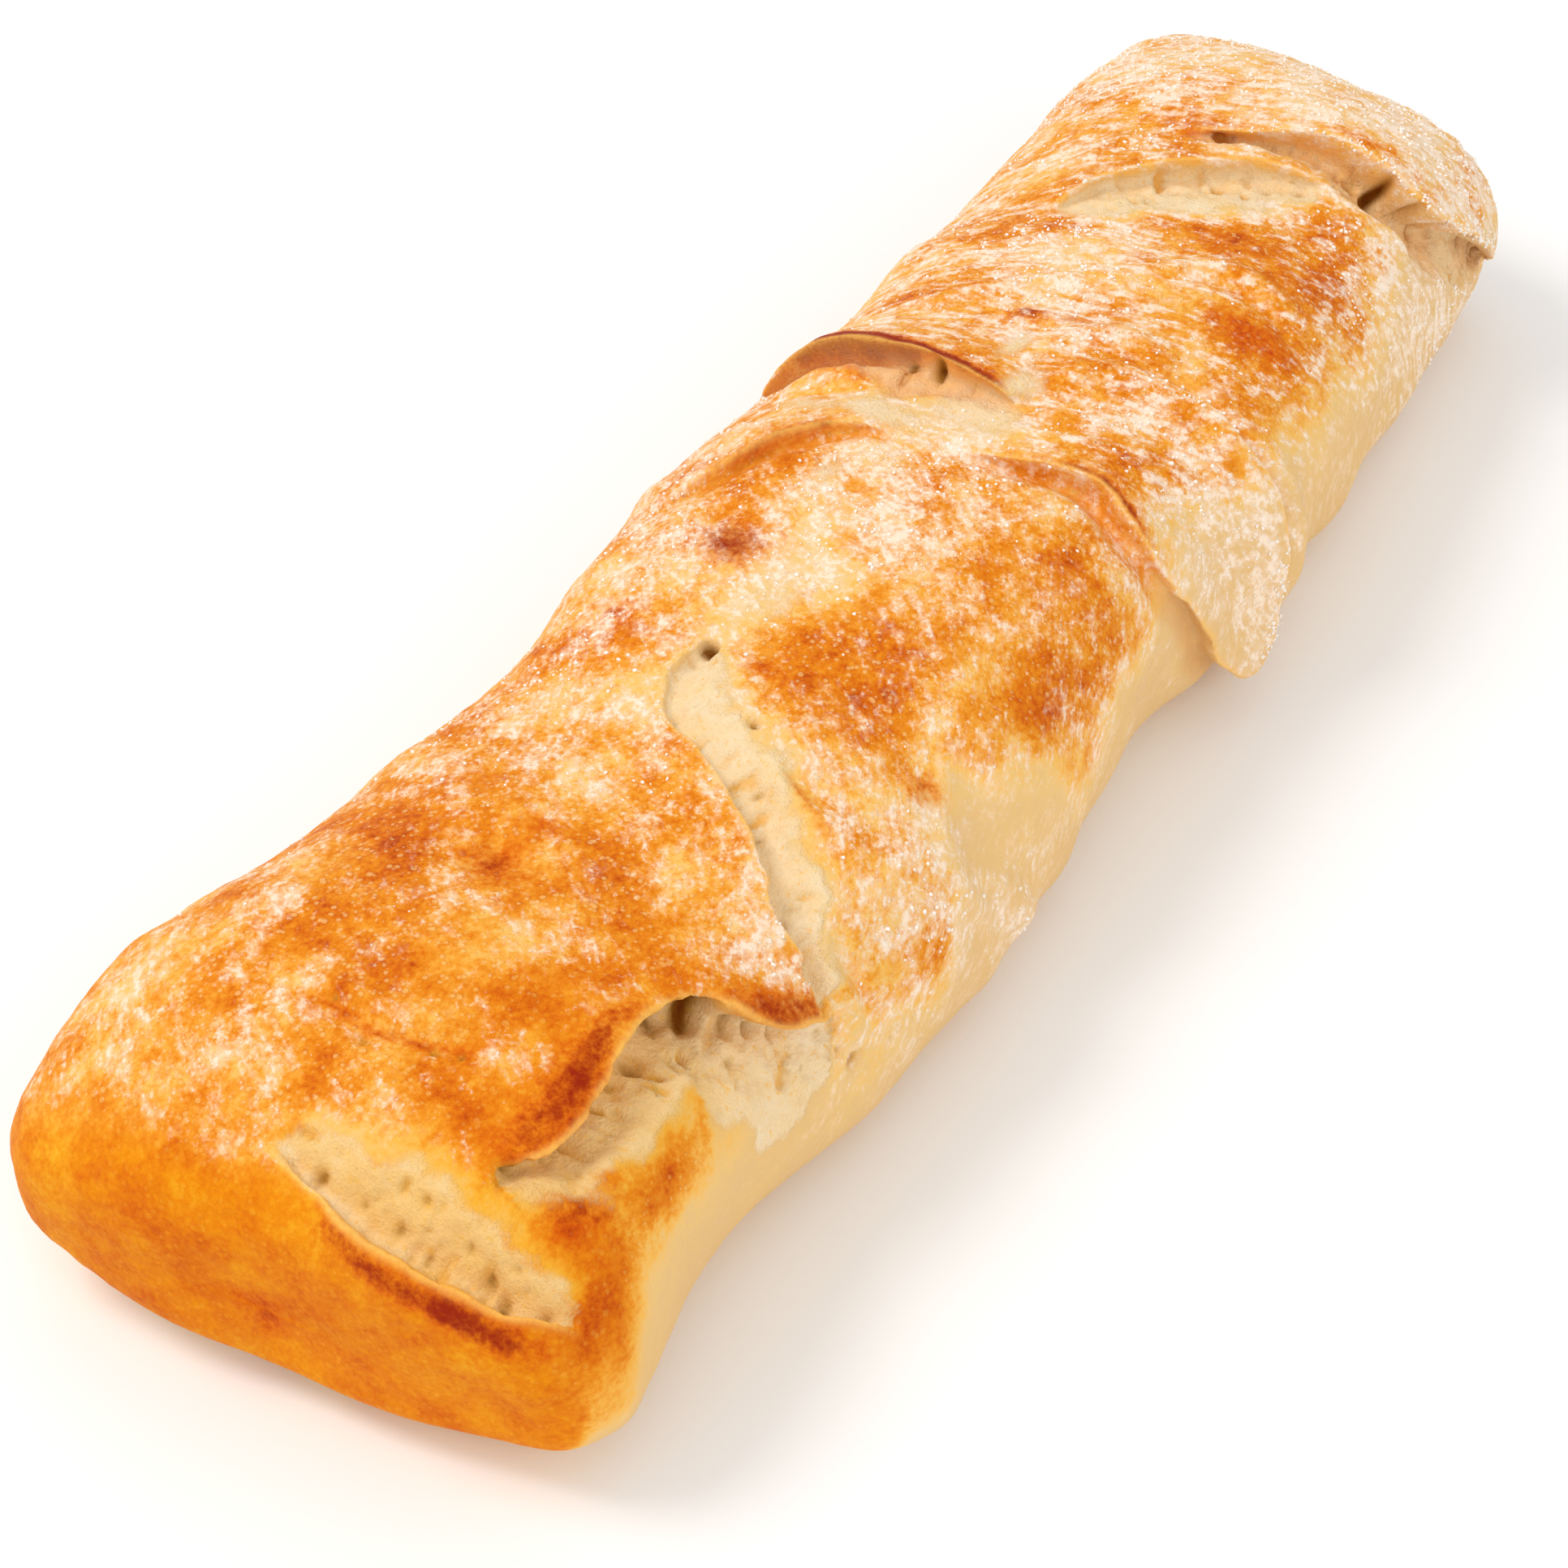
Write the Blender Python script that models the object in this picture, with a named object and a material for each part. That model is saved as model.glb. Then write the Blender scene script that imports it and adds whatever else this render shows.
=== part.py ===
"""A long hand-stretched ciabatta, baked with a twist: one solid loaf, torn and folded on top.

The loaf lies along X with its flat underside on Z = 0. A place on its crust is given as
(x, angle): x in mm along the loaf, and the angle round the section in degrees, 0 at the
crown, +90 at the widest point of the left (+Y) side, -90 at that of the right (-Y) side.
"""

import bmesh
import bpy
import numpy as np
from mathutils import noise

MM = 0.001

# The loaf: x, centre line y, half width left, half width right, crown height, widest level (mm).
STATIONS = (
    (-182, 0, 56, 60, 51, 20),
    (-155, 0, 54, 52, 57, 22),
    (-115, 0, 47, 47, 55, 24),
    (-70, -2, 44, 50, 55, 24),
    (-25, 0, 46, 48, 57, 24),
    (20, 0, 45, 48, 58, 24),
    (65, -2, 46, 48, 58, 24),
    (110, 1, 46, 44, 56, 24),
    (155, 2, 48, 44, 57, 22),
    (182, 2, 46, 44, 50, 20),
)
HALF_LENGTH = 182.0
TOP_ROUND, UNDER_ROUND = 2.5, 3.6  # superellipse powers of the section above and below its widest level
END_PLAN_ROUND, END_HEIGHT_ROUND = 9.0, 4.8  # superellipse powers of the ends, from above and from the side
END_SKEW = (-4.0, 5.0)  # how far the near and the far end lean along X at the widest point, mm
HALF_WIDTH = 48.0
REST_DEPTH = 1.0  # the underside is flat where the section comes within this of the tray, mm
CENTRE_SHIFT = (-0.6, 0.0, 0.0)  # brings the middle of the finished loaf over the origin, mm

# The mesh before it is thinned, and the triangles kept.
RINGS, COLUMNS = 380, 190
UNDER_DENSITY = 0.4  # columns per mm on the underside, against 1 on the crust
TRIANGLES = 11800
CROWDING, CROWD_REACH = 0.65, 3.0  # how strongly, and within how many mm, points gather along a seam

# The crust's own unevenness: (wavelength, height) in mm.
SWELLS = ((34.0, 1.5), (12.0, 0.5))
# Bulges and hollows: x, angle, height, reach along X, reach round the section (mm).
BULGES = (
    (-182, 120, -3.0, 9, 16), (-176, 140, -3.5, 10, 16), (-172, 74, 0.6, 8, 18), (-157, 66, 1.8, 14, 18),
    (-145, 60, 1.2, 7, 12), (-132, 57, 0.6, 6, 7), (-90, 60, 1.6, 12, 14), (-53, 66, -1.3, 11, 14),
    (-14, 62, 1.8, 5, 5), (70, 57, 2.3, 11, 14), (85, 66, 0.6, 8, 12), (148, 50, 0.9, 10, 14),
    (164, 46, 2.7, 9, 14), (-183, 70, -2.0, 10, 16), (-181, -128, -2.6, 9, 16), (-184, -158, 3.0, 8, 14),
    (-166, -106, 0.9, 4, 10), (-139, -104, -1.8, 14, 16), (-121, -106, -0.5, 6, 12), (-92, -110, 1.3, 12, 16),
    (-57, -109, 1.3, 6, 10), (-45, -98, 1.6, 7, 6), (-29, -105, 1.9, 9, 14), (13, -110, -2.6, 16, 18),
    (60, -84, -1.6, 10, 14), (72, -106, -3.0, 8, 12), (120, -105, 2.3, 13, 14), (173, -64, 1.0, 8, 20),
    (-165, -20, 1.6, 10, 22), (-112, 6, -1.4, 6, 8), (-80, 18, -2.4, 16, 26), (-54, -60, -3.2, 9, 16),
    (-10, -40, 2.0, 26, 26), (48, 4, -1.2, 10, 10), (84, -30, 1.8, 20, 20), (150, -10, 1.6, 14, 26),
)

# Tears and folds. Each row is x, angle, lip height, depth beyond the lip, width of the opening (mm).
# The opening lies on the left of the direction in which the rows run.
# reach: how far back from its edge the lip rises. over: how far it leans over the opening.
# wall: how much of the crust goes into the drop. pits: depth of the pores in an opened crumb.
SEAMS = {
    "near_tear": dict(
        reach=6.0, over=0.8, wall=1.8, pits=0.6,
        rows=(
            (-171, 3, 0, 0, 4), (-174, -3, 1.2, 1.6, 9), (-176, -10, 2.0, 2.4, 11), (-177, -18, 2.3, 2.8, 12),
            (-177, -27, 2.4, 2.8, 12), (-177, -37, 2.3, 2.8, 10), (-176, -47, 1.9, 2.4, 8),
            (-174, -56, 1.4, 1.6, 6), (-171, -66, 0, 0, 4),
        ),
    ),
    "hook_tear": dict(
        reach=9.0, over=2.0, wall=2.2, pits=0.9,
        rows=(
            (-97, -70, 0, 0, 6), (-102, -66, 1.8, 2.4, 15), (-109, -59, 2.6, 3.4, 18),
            (-114, -47, 2.8, 4.6, 18), (-119, -37, 2.6, 5.2, 16), (-127, -33, 2.6, 4.6, 14),
            (-137, -34, 2.8, 4.0, 12), (-145, -35, 2.6, 3.6, 11), (-152, -35, 2.0, 3.6, 9),
            (-158, -31, 1.4, 3.4, 6), (-163, -27, 0, 0, 4),
        ),
    ),
    "flap_tear": dict(
        reach=9.0, over=2.4, wall=2.2, pits=0.7,
        rows=(
            (27, -6, 0, 0, 4), (27, 0, 2.8, 2.4, 7), (26, 8, 4.8, 3.8, 9), (26, 18, 5.5, 4.2, 10),
            (26, 28, 5.4, 4.2, 10), (26, 38, 4.8, 4.0, 9), (25, 48, 3.7, 3.4, 8), (23, 57, 2.0, 1.8, 6),
            (20, 66, 0, 0, 4),
        ),
    ),
    "far_tear": dict(
        reach=13.0, over=3.0, wall=3.0, pits=0.8,
        rows=(
            (174, -94, 0, 0, 5), (168, -86, 2.4, 2.6, 10), (158, -75, 3.4, 4.2, 12), (148, -64, 4.0, 5.6, 13),
            (140, -55, 4.2, 6.8, 13), (137, -45, 4.2, 6.8, 13), (136, -35, 4.0, 5.6, 12),
            (135, -24, 3.4, 4.6, 11), (133, -13, 2.8, 3.8, 10), (129, -3, 2.0, 2.6, 8), (122, 7, 0, 0, 5),
        ),
    ),
    "band_tear": dict(
        reach=7.0, over=1.4, wall=1.8, pits=0.7,
        rows=(
            (124, -26, 0, 0, 6), (122, -17, 2.0, 2.4, 10), (120, -8, 2.2, 3.0, 13), (115, -1, 2.2, 3.0, 14),
            (109, 5, 2.0, 2.8, 14), (102, 12, 1.6, 2.2, 13), (93, 18, 1.2, 1.4, 11), (84, 22, 0, 0, 8),
        ),
    ),
    "strap_fold": dict(
        reach=6.5, over=1.4, wall=2.6, pits=0.0,
        rows=(
            (43, -16, 0, 0, 4), (46, -32, 0.8, 1.4, 5), (45, -50, 1.2, 2.2, 5), (46, -68, 1.6, 2.8, 5),
            (46, -82, 2.2, 3.0, 5), (44, -93, 2.8, 2.6, 6), (41, -101, 4.4, 2.0, 7), (37, -106, 5.6, 1.4, 8),
            (33, -103, 4.6, 1.4, 8), (29, -96, 3.4, 1.6, 8), (23, -84, 2.0, 1.4, 8), (17, -68, 1.4, 1.2, 8),
            (14, -52, 2.0, 2.6, 8), (15, -40, 2.8, 3.8, 8), (16, -29, 2.8, 3.8, 8), (14, -20, 2.2, 2.6, 7),
            (11, -11, 1.4, 1.4, 6), (9, -2, 0, 0, 4),
        ),
    ),
    "left_fold": dict(
        reach=6.0, over=1.2, wall=1.8, pits=0.0,
        rows=(
            (8, 2, 0, 0, 4), (6, 9, 1.2, 1.2, 6), (1, 18, 1.8, 2.2, 7), (-5, 26, 1.8, 2.4, 7),
            (-12, 32, 1.4, 1.8, 6), (-19, 39, 0.9, 1.2, 6), (-26, 46, 0, 0, 4),
        ),
    ),
    "split_left": dict(
        reach=5.0, over=0.5, wall=2.0, pits=0.7,
        rows=(
            (-52, 5, 0, 0, 3), (-57, 7, 0.4, 2.2, 7), (-63, 7, 0.3, 1.4, 7), (-70, 4, 0.4, 1.4, 8),
            (-75, -1, 0.6, 1.6, 9), (-79, -8, 0.8, 2.2, 9), (-84, -16, 1.0, 2.4, 8), (-88, -23, 1.2, 2.8, 8),
            (-92, -30, 1.2, 2.8, 9), (-97, -39, 1.3, 3.0, 10), (-99, -50, 1.2, 3.0, 7),
            (-100, -58, 0.8, 2.6, 5), (-101, -65, 0, 0, 4),
        ),
    ),
}

# Ridges and creases: x, angle, height (below 0 for a crease), half width (mm).
RIDGES = {
    "band_ridge": (
        (43, -34, 0, 4), (49, -52, 1.6, 4), (52, -72, 2.4, 4), (55, -88, 2.6, 4), (55, -102, 0, 4),
    ),
    "split_ridge": (
        (-71, -12, 0, 2), (-74, -17, 1.5, 2), (-77, -26, 1.7, 2), (-76, -34, 1.2, 2), (-73, -40, 0, 2),
    ),
    "left_slit": ((-98, -50, 0, 1.8), (-99, -58, -2.0, 1.8), (-98, -66, -1.6, 1.8), (-96, -76, 0, 1.8)),
    "right_slit": ((-91, -54, 0, 1.6), (-92, -63, -1.8, 1.6), (-92, -72, -1.6, 1.6), (-94, -82, 0, 1.6)),
    "right_slit_ridge": ((-95, -56, 0, 2), (-96, -64, 1.2, 2), (-95, -73, 1.2, 2), (-96, -84, 0, 2)),
    "lobe_edge": (
        (-50, -42, 0, 2.4), (-53, -47, 1.4, 2.4), (-58, -53, 1.6, 2.4), (-62, -60, 1.0, 2.4),
        (-63, -68, 0, 2.4),
    ),
    "pinch_a": ((-66, -62, 0, 1.8), (-64, -70, 1.0, 1.8), (-61, -82, 1.2, 1.8), (-56, -94, 0, 1.8)),
    "pinch_b": ((-57, -74, 0, 2.2), (-54, -83, 1.6, 2.2), (-48, -92, 2.0, 2.2), (-43, -103, 0, 2.2)),
    "wrinkle_a": (
        (65, 4, 0, 2), (71, -2, 1.1, 2), (77, -7, 1.3, 2), (83, -15, 1.4, 2), (84, -27, 1.3, 2),
        (82, -42, 0, 2),
    ),
    "wrinkle_a_crease": (
        (76, -8, 0, 1.8), (79, -15, -1.3, 1.8), (79, -26, -1.5, 1.8), (77, -38, -1.2, 1.8), (74, -50, 0, 1.8),
    ),
    "wrinkle_c": ((60, 12, 0, 2), (64, 4, 1.0, 2), (68, -2, 1.0, 2), (73, -8, 0, 2)),
    "wrinkle_b": ((98, 36, 0, 2), (104, 26, 0.9, 2), (112, 18, 1.0, 2), (121, 8, 0, 2)),
    "rear_fold": ((42, 30, 0, 2.4), (47, 22, 1.4, 2.4), (54, 14, 1.4, 2.4), (58, 4, 0, 2.4)),
    "toasted_nub": ((46, 10, 0, 2.4), (49, 5, 1.8, 2.4), (51, 0, 1.4, 2.4), (52, -4, 0, 2.4)),
    "crest_g": ((36, -2, 0, 3), (44, -2, 1.8, 3), (50, -6, 2.0, 3), (53, -14, 1.6, 3), (52, -24, 0, 3)),
    "crest_h": ((29, -7, 0, 3), (37, -9, 1.6, 3), (42, -14, 1.8, 3), (45, -22, 1.0, 3), (47, -32, 0, 3)),
    "strap_line": (
        (28, -8, 0, 2), (33, -17, -0.9, 2), (35, -27, -0.9, 2), (36, -38, -0.9, 2), (35, -52, 0, 2),
    ),
    "tongue_line": (
        (24, -50, 0, 2.2), (28, -64, -1.0, 2.2), (33, -78, -1.2, 2.2), (40, -94, -1.0, 2.2),
        (42, -101, 0, 2.2),
    ),
    "flap_string": (
        (12, 44, 0, 1.8), (15, 35, 1.8, 2), (18, 27, 3.4, 2.2), (21, 20, 4.4, 2.4), (23, 12, 4.4, 2.4),
        (24, 4, 2.4, 2.2), (28, -6, 0, 1.8),
    ),
    "near_wrinkle": (
        (-150, 14, 0, 1.8), (-150, 6, -1.3, 1.8), (-151, -1, -1.5, 1.8), (-149, -9, -1.3, 1.8),
        (-146, -18, 0, 1.8),
    ),
    "near_crest": ((-146, 14, 0, 2), (-147, 6, 1.0, 2), (-147, -1, 1.1, 2), (-144, -10, 0, 2)),
    "small_slit": ((-30, 25, 0, 1.6), (-25, 22, -1.8, 1.6), (-20, 19, 0, 1.6)),
    "side_crease": ((18, -66, 0, 1.8), (13, -76, -0.8, 1.8), (8, -86, -0.8, 1.8), (4, -94, 0, 1.8)),
    "dark_crease": ((-105, 12, 0, 1.8), (-109, 5, -1.2, 1.8), (-114, -3, 0, 1.8)),
}


def spline(knots, values, at):
    """Natural cubic spline through the rows of values, read at any array of places."""
    knots, values = np.asarray(knots, float), np.asarray(values, float)
    gap = np.diff(knots)
    rise = np.diff(values, axis=0) / gap[:, None]
    system = np.eye(len(knots))
    right = np.zeros_like(values)
    for i in range(1, len(knots) - 1):
        system[i, i - 1 : i + 2] = gap[i - 1], 2 * (gap[i - 1] + gap[i]), gap[i]
        right[i] = 3 * (rise[i] - rise[i - 1])
    bend = np.linalg.solve(system, right)
    i = np.clip(np.searchsorted(knots, at) - 1, 0, len(gap) - 1)
    u, h = (at - knots[i])[..., None], gap[i][..., None]
    slope = rise[i] - h * (2 * bend[i] + bend[i + 1]) / 3
    return values[i] + u * (slope + u * (bend[i] + u * (bend[i + 1] - bend[i]) / (3 * h)))


def power(value, exponent):
    return np.sign(value) * np.abs(value) ** exponent


def smoothstep(value):
    value = np.clip(value, 0.0, 1.0)
    return value * value * (3.0 - 2.0 * value)


def crust(s, angle):
    """Points of the plain loaf in mm: s runs -1 to 1 from end to end, angle is in radians from the crown."""
    s, angle = np.broadcast_arrays(s, angle)
    x = HALF_LENGTH * s
    table = np.array(STATIONS, float)
    centre, left, right, crown, level = np.moveaxis(spline(table[:, 0], table[:, 1:], x), -1, 0)
    plan = np.clip(1 - np.abs(s) ** END_PLAN_ROUND, 0, 1) ** (1 / END_PLAN_ROUND)
    rise = np.clip(1 - np.abs(s) ** END_HEIGHT_ROUND, 0, 1) ** (1 / END_HEIGHT_ROUND)
    above = np.cos(angle) >= 0
    rounding = np.where(above, 2 / TOP_ROUND, 2 / UNDER_ROUND)
    y = np.where(angle >= 0, left, right) * plan * power(np.sin(angle), rounding)
    height = np.where(above, (crown - level) * rise, level * rise**0.6)
    z = level + height * power(np.cos(angle), rounding)
    lean = END_SKEW[0] * np.clip((-s - 0.4) / 0.6, 0, 1) ** 2 + END_SKEW[1] * np.clip((s - 0.4) / 0.6, 0, 1) ** 2
    return np.stack([x + lean * y / HALF_WIDTH, centre + y, z], -1)


def crust_at(x, degrees):
    return crust(np.asarray(x, float) / HALF_LENGTH, np.radians(degrees))


def even_steps(points, density, count):
    """Fractions of the way along points at which count + 1 stops are evenly spaced, by length times density."""
    length = np.linalg.norm(np.diff(points, axis=0), axis=-1)
    run = np.concatenate([[0.0], np.cumsum(length * density)])
    return np.interp(np.linspace(0, run[-1], count + 1), run, np.linspace(0, 1, len(points)))


def grid_lines():
    """The s of every ring, from end to end, and the angle of every column, from the crown round."""
    turn = np.linspace(-np.pi / 2, np.pi / 2, 6001)
    ease = np.sin(turn)
    along = 0.35 * ease + 0.65 * power(ease, 2 / END_PLAN_ROUND) * np.abs(ease) ** 0.5
    sides = np.concatenate([crust(along[:, None], np.radians([[-90, 0, 90]]))], -1).reshape(len(along), -1)
    ring_s = np.interp(even_steps(sides, 1.0, RINGS), np.linspace(0, 1, len(along)), along)
    angles = np.linspace(-np.pi, np.pi, 2881)
    density = np.where(np.abs(angles[:-1]) > np.radians(120), UNDER_DENSITY, 1.0)
    column_angle = np.interp(
        even_steps(crust(0.0, angles), density, COLUMNS), np.linspace(0, 1, len(angles)), angles
    )
    return ring_s, column_angle


def fractal(points, wavelength, shift=0.0):
    """Smooth noise of about -1 to 1 with the given wavelength in mm."""
    return np.array([noise.noise(p) for p in (points / wavelength + shift).tolist()])


class Trace:
    """A line drawn on the crust through rows of (x, angle, sizes...), with the distance of points from it."""

    def __init__(self, rows, step=0.8):
        rows = np.array(rows, float)
        corners = crust_at(rows[:, 0], rows[:, 1])
        run = np.concatenate([[0.0], np.cumsum(np.linalg.norm(np.diff(corners, axis=0), axis=1))])
        at = np.linspace(0, run[-1], max(8, int(run[-1] / step)))
        place = spline(run, rows[:, :2], at)
        self.points = crust_at(place[:, 0], place[:, 1])
        around = crust_at(place[:, 0], place[:, 1] + 0.5) - crust_at(place[:, 0], place[:, 1] - 0.5)
        along = crust_at(place[:, 0] + 0.3, place[:, 1]) - crust_at(place[:, 0] - 0.3, place[:, 1])
        self.normals = np.cross(along, around)
        self.normals /= np.linalg.norm(self.normals, axis=1, keepdims=True)
        ahead = np.gradient(self.points, axis=0)
        self.left = np.cross(self.normals, ahead)
        self.left /= np.linalg.norm(self.left, axis=1, keepdims=True)
        self.sizes = np.array([np.interp(at, run, rows[:, k]) for k in range(2, rows.shape[1])]).T
        kernel = np.hanning(7)[1:-1] / np.hanning(7)[1:-1].sum()
        for column in self.sizes.T:
            column[2:-2] = np.convolve(column, kernel, "valid")

    def nearest(self, points, reach):
        """Indices of the points within reach, their signed distance (left is positive) and nearest samples."""
        low, high = self.points.min(axis=0) - reach, self.points.max(axis=0) + reach
        near = np.flatnonzero(((points > low) & (points < high)).all(axis=1))
        apart = np.linalg.norm(points[near, None] - self.points[None], axis=2)
        sample = apart.argmin(axis=1)
        distance = apart.min(axis=1)
        keep = distance < reach
        near, sample, distance = near[keep], sample[keep], distance[keep]
        aside = ((points[near] - self.points[sample]) * self.left[sample]).sum(axis=1)
        return near, np.where(aside < 0, -distance, distance), sample


def crowd(points, seams):
    """Draws the points near every seam towards it, so that its edge and wall are finely cut."""
    shift = np.zeros_like(points)
    for seam in seams:
        trace = Trace(seam["rows"])
        near, distance, sample = trace.nearest(points, 9.0)
        inner = np.minimum(sample, len(trace.points) - 1 - sample) / 6.0
        pull = -CROWDING * smoothstep(inner) * distance * np.exp(-((distance / CROWD_REACH) ** 2))
        shift[near] += pull[:, None] * trace.left[sample]
    return points + shift


def add_seam(points, normals, shift, seam):
    """A tear or a fold: a raised lip leaning over an opening, which climbs back to the crust."""
    trace = Trace(seam["rows"])
    near, distance, sample = trace.nearest(points, 30.0)
    distance = distance + 0.5 * fractal(points[near], 4.0) + 0.6 * fractal(points[near], 9.0, 5.0)
    lip, depth, width = trace.sizes[sample].T
    width = width * (1 + 0.3 * fractal(points[near], 8.0, 7.0))
    strength = smoothstep(lip / 1.5)
    back = np.exp(-((np.minimum(distance, 0) / seam["reach"]) ** 2))
    drop = smoothstep(distance / seam["wall"])
    rest = (distance - seam["wall"]) / np.maximum(width - seam["wall"], 1.0)
    floor = 1 - smoothstep(rest)
    height = lip * back * (1 - drop) - depth * drop * floor
    pits = seam["pits"] * smoothstep(depth) * drop * smoothstep(2.5 * (1 - rest))
    height += pits * (fractal(points[near], 2.6, 9.0) - 0.3)
    tuck = np.exp(-np.maximum(distance - seam["wall"], 0) / 2.5)
    aside = strength * (seam["over"] * back * (1 - drop) - 0.75 * seam["wall"] * drop * tuck)
    shift[near] += height[:, None] * normals[near] + aside[:, None] * trace.left[sample]


def add_ridge(points, normals, shift, rows):
    trace = Trace(rows)
    near, distance, sample = trace.nearest(points, 14.0)
    height, half_width = trace.sizes[sample].T
    shift[near] += (height * np.exp(-((distance / half_width) ** 2)))[:, None] * normals[near]


def relief(points, normals):
    """Where each point of the plain loaf goes: the crust's swells, bulges, ridges, tears and folds."""
    shift = np.zeros_like(points)
    free = smoothstep((points[:, 2] - 4.0) / 10.0)[:, None]
    for wavelength, height in SWELLS:
        shift += height * fractal(points, wavelength, wavelength)[:, None] * normals * free
    for x, angle, height, along, around in BULGES:
        away = points - crust_at(x, angle)
        across = np.linalg.norm(away[:, 1:], axis=1)
        shift += (height * np.exp(-((away[:, 0] / along) ** 2) - (across / around) ** 2))[:, None] * normals
    for rows in RIDGES.values():
        add_ridge(points, normals, shift, rows)
    for seam in SEAMS.values():
        add_seam(points, normals, shift, seam)
    moved = points + shift * smoothstep((points[:, 2] - 1.5) / 4.0)[:, None]
    moved[:, 2] = np.maximum(moved[:, 2] - REST_DEPTH, 0.0)
    return moved + CENTRE_SHIFT


def in_fixed_order(faces):
    """The faces as vertex numbers, each from its lowest one on, sorted: bmesh keeps them in no fixed order."""
    corners = [[vertex.index for vertex in face.verts] for face in faces]
    starts = [face.index(min(face)) for face in corners]
    return sorted(face[start:] + face[:start] for face, start in zip(corners, starts))


def shape_loaf(mesh):
    """Draws a round ball of rings and columns out into the loaf, then presses the relief into it."""
    ball = bmesh.new()
    bmesh.ops.create_uvsphere(ball, u_segments=COLUMNS, v_segments=RINGS, radius=1.0)
    unit = np.array([vertex.co for vertex in ball.verts], float)
    ring_s, column_angle = grid_lines()
    ring = (1 - np.arccos(np.clip(unit[:, 2], -1, 1)) / np.pi) * RINGS
    column = (0.5 - np.arctan2(unit[:, 1], unit[:, 0]) / (2 * np.pi)) * COLUMNS
    s = np.interp(ring, np.arange(RINGS + 1), ring_s)
    plain = crowd(crust(s, np.interp(column, np.arange(COLUMNS + 1), column_angle)), SEAMS.values())
    for vertex, place in zip(ball.verts, plain.tolist()):
        vertex.co = place
    ball.normal_update()
    normals = np.array([vertex.normal for vertex in ball.verts], float)
    for vertex, place in zip(ball.verts, (relief(plain, normals) * MM).tolist()):
        vertex.co = place
    bmesh.ops.triangulate(ball, faces=ball.faces)
    mesh.from_pydata([vertex.co[:] for vertex in ball.verts], [], in_fixed_order(ball.faces))
    ball.free()


def crust_material():
    material = bpy.data.materials.new("crust")
    material.use_nodes = True
    shader = material.node_tree.nodes["Principled BSDF"]
    shader.inputs["Base Color"].default_value = (0.63, 0.34, 0.10, 1.0)
    shader.inputs["Roughness"].default_value = 0.72
    material.diffuse_color = (0.63, 0.34, 0.10, 1.0)
    return material


for obj in list(bpy.data.objects):
    bpy.data.objects.remove(obj, do_unlink=True)

collection = bpy.data.collections.new("ciabatta")
bpy.context.scene.collection.children.link(collection)
mesh = bpy.data.meshes.new("loaf")
shape_loaf(mesh)
mesh.materials.append(crust_material())
loaf = bpy.data.objects.new("loaf", mesh)
collection.objects.link(loaf)
settle = loaf.modifiers.new("settle", "SMOOTH")
settle.iterations = 2
thin = loaf.modifiers.new("thin", "DECIMATE")
thin.ratio = TRIANGLES / len(mesh.polygons)
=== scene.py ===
"""The looks of a hand-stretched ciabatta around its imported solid: crust, tears, crumb and flour.

The loaf lies along X on Z = 0. A place on its crust is (x, angle): x in mm along the loaf, and
the angle round the section in degrees, 0 at the crown, +90 at the widest point of the left (+Y)
side, -90 at that of the right (-Y) side. Lengths are in mm unless a name says otherwise.
"""

import math

import bmesh
import bpy
import numpy as np
from mathutils import Matrix, Vector, noise


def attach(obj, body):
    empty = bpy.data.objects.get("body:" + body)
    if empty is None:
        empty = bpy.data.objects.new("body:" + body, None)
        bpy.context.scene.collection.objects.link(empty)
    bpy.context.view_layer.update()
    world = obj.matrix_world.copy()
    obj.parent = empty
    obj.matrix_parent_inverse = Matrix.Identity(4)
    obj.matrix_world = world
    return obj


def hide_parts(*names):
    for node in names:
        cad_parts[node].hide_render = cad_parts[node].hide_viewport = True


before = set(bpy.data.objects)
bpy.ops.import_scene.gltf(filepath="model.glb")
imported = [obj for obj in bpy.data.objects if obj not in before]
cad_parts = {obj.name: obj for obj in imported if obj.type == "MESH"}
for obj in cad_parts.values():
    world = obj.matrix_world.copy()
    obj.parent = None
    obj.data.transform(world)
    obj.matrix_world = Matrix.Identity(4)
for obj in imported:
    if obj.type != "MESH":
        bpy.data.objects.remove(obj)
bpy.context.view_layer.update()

MM = 0.001
SEED = 7

# ---------------- the loaf's form, as in the solid

# The loaf: x, centre line y, half width left, half width right, crown height, widest level.
STATIONS = (
    (-182, 0, 56, 60, 51, 20),
    (-155, 0, 54, 52, 57, 22),
    (-115, 0, 47, 47, 55, 24),
    (-70, -2, 44, 50, 55, 24),
    (-25, 0, 46, 48, 57, 24),
    (20, 0, 45, 48, 58, 24),
    (65, -2, 46, 48, 58, 24),
    (110, 1, 46, 44, 56, 24),
    (155, 2, 48, 44, 57, 22),
    (182, 2, 46, 44, 50, 20),
)
HALF_LENGTH = 182.0
TOP_ROUND, UNDER_ROUND = 2.5, 3.6  # superellipse powers of the section above and below its widest level
END_PLAN_ROUND, END_HEIGHT_ROUND = 9.0, 4.8  # superellipse powers of the ends, from above and from the side
END_SKEW = (-4.0, 5.0)  # how far the near and the far end lean along X at the widest point
HALF_WIDTH = 48.0
REST_DEPTH = 1.0  # the underside is flat where the section comes within this of the ground
CENTRE_SHIFT = (-0.6, 0.0, 0.0)  # brings the middle of the finished loaf over the origin

# The crust's own unevenness: (wavelength, height).
SWELLS = ((34.0, 1.5), (12.0, 0.5))
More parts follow.
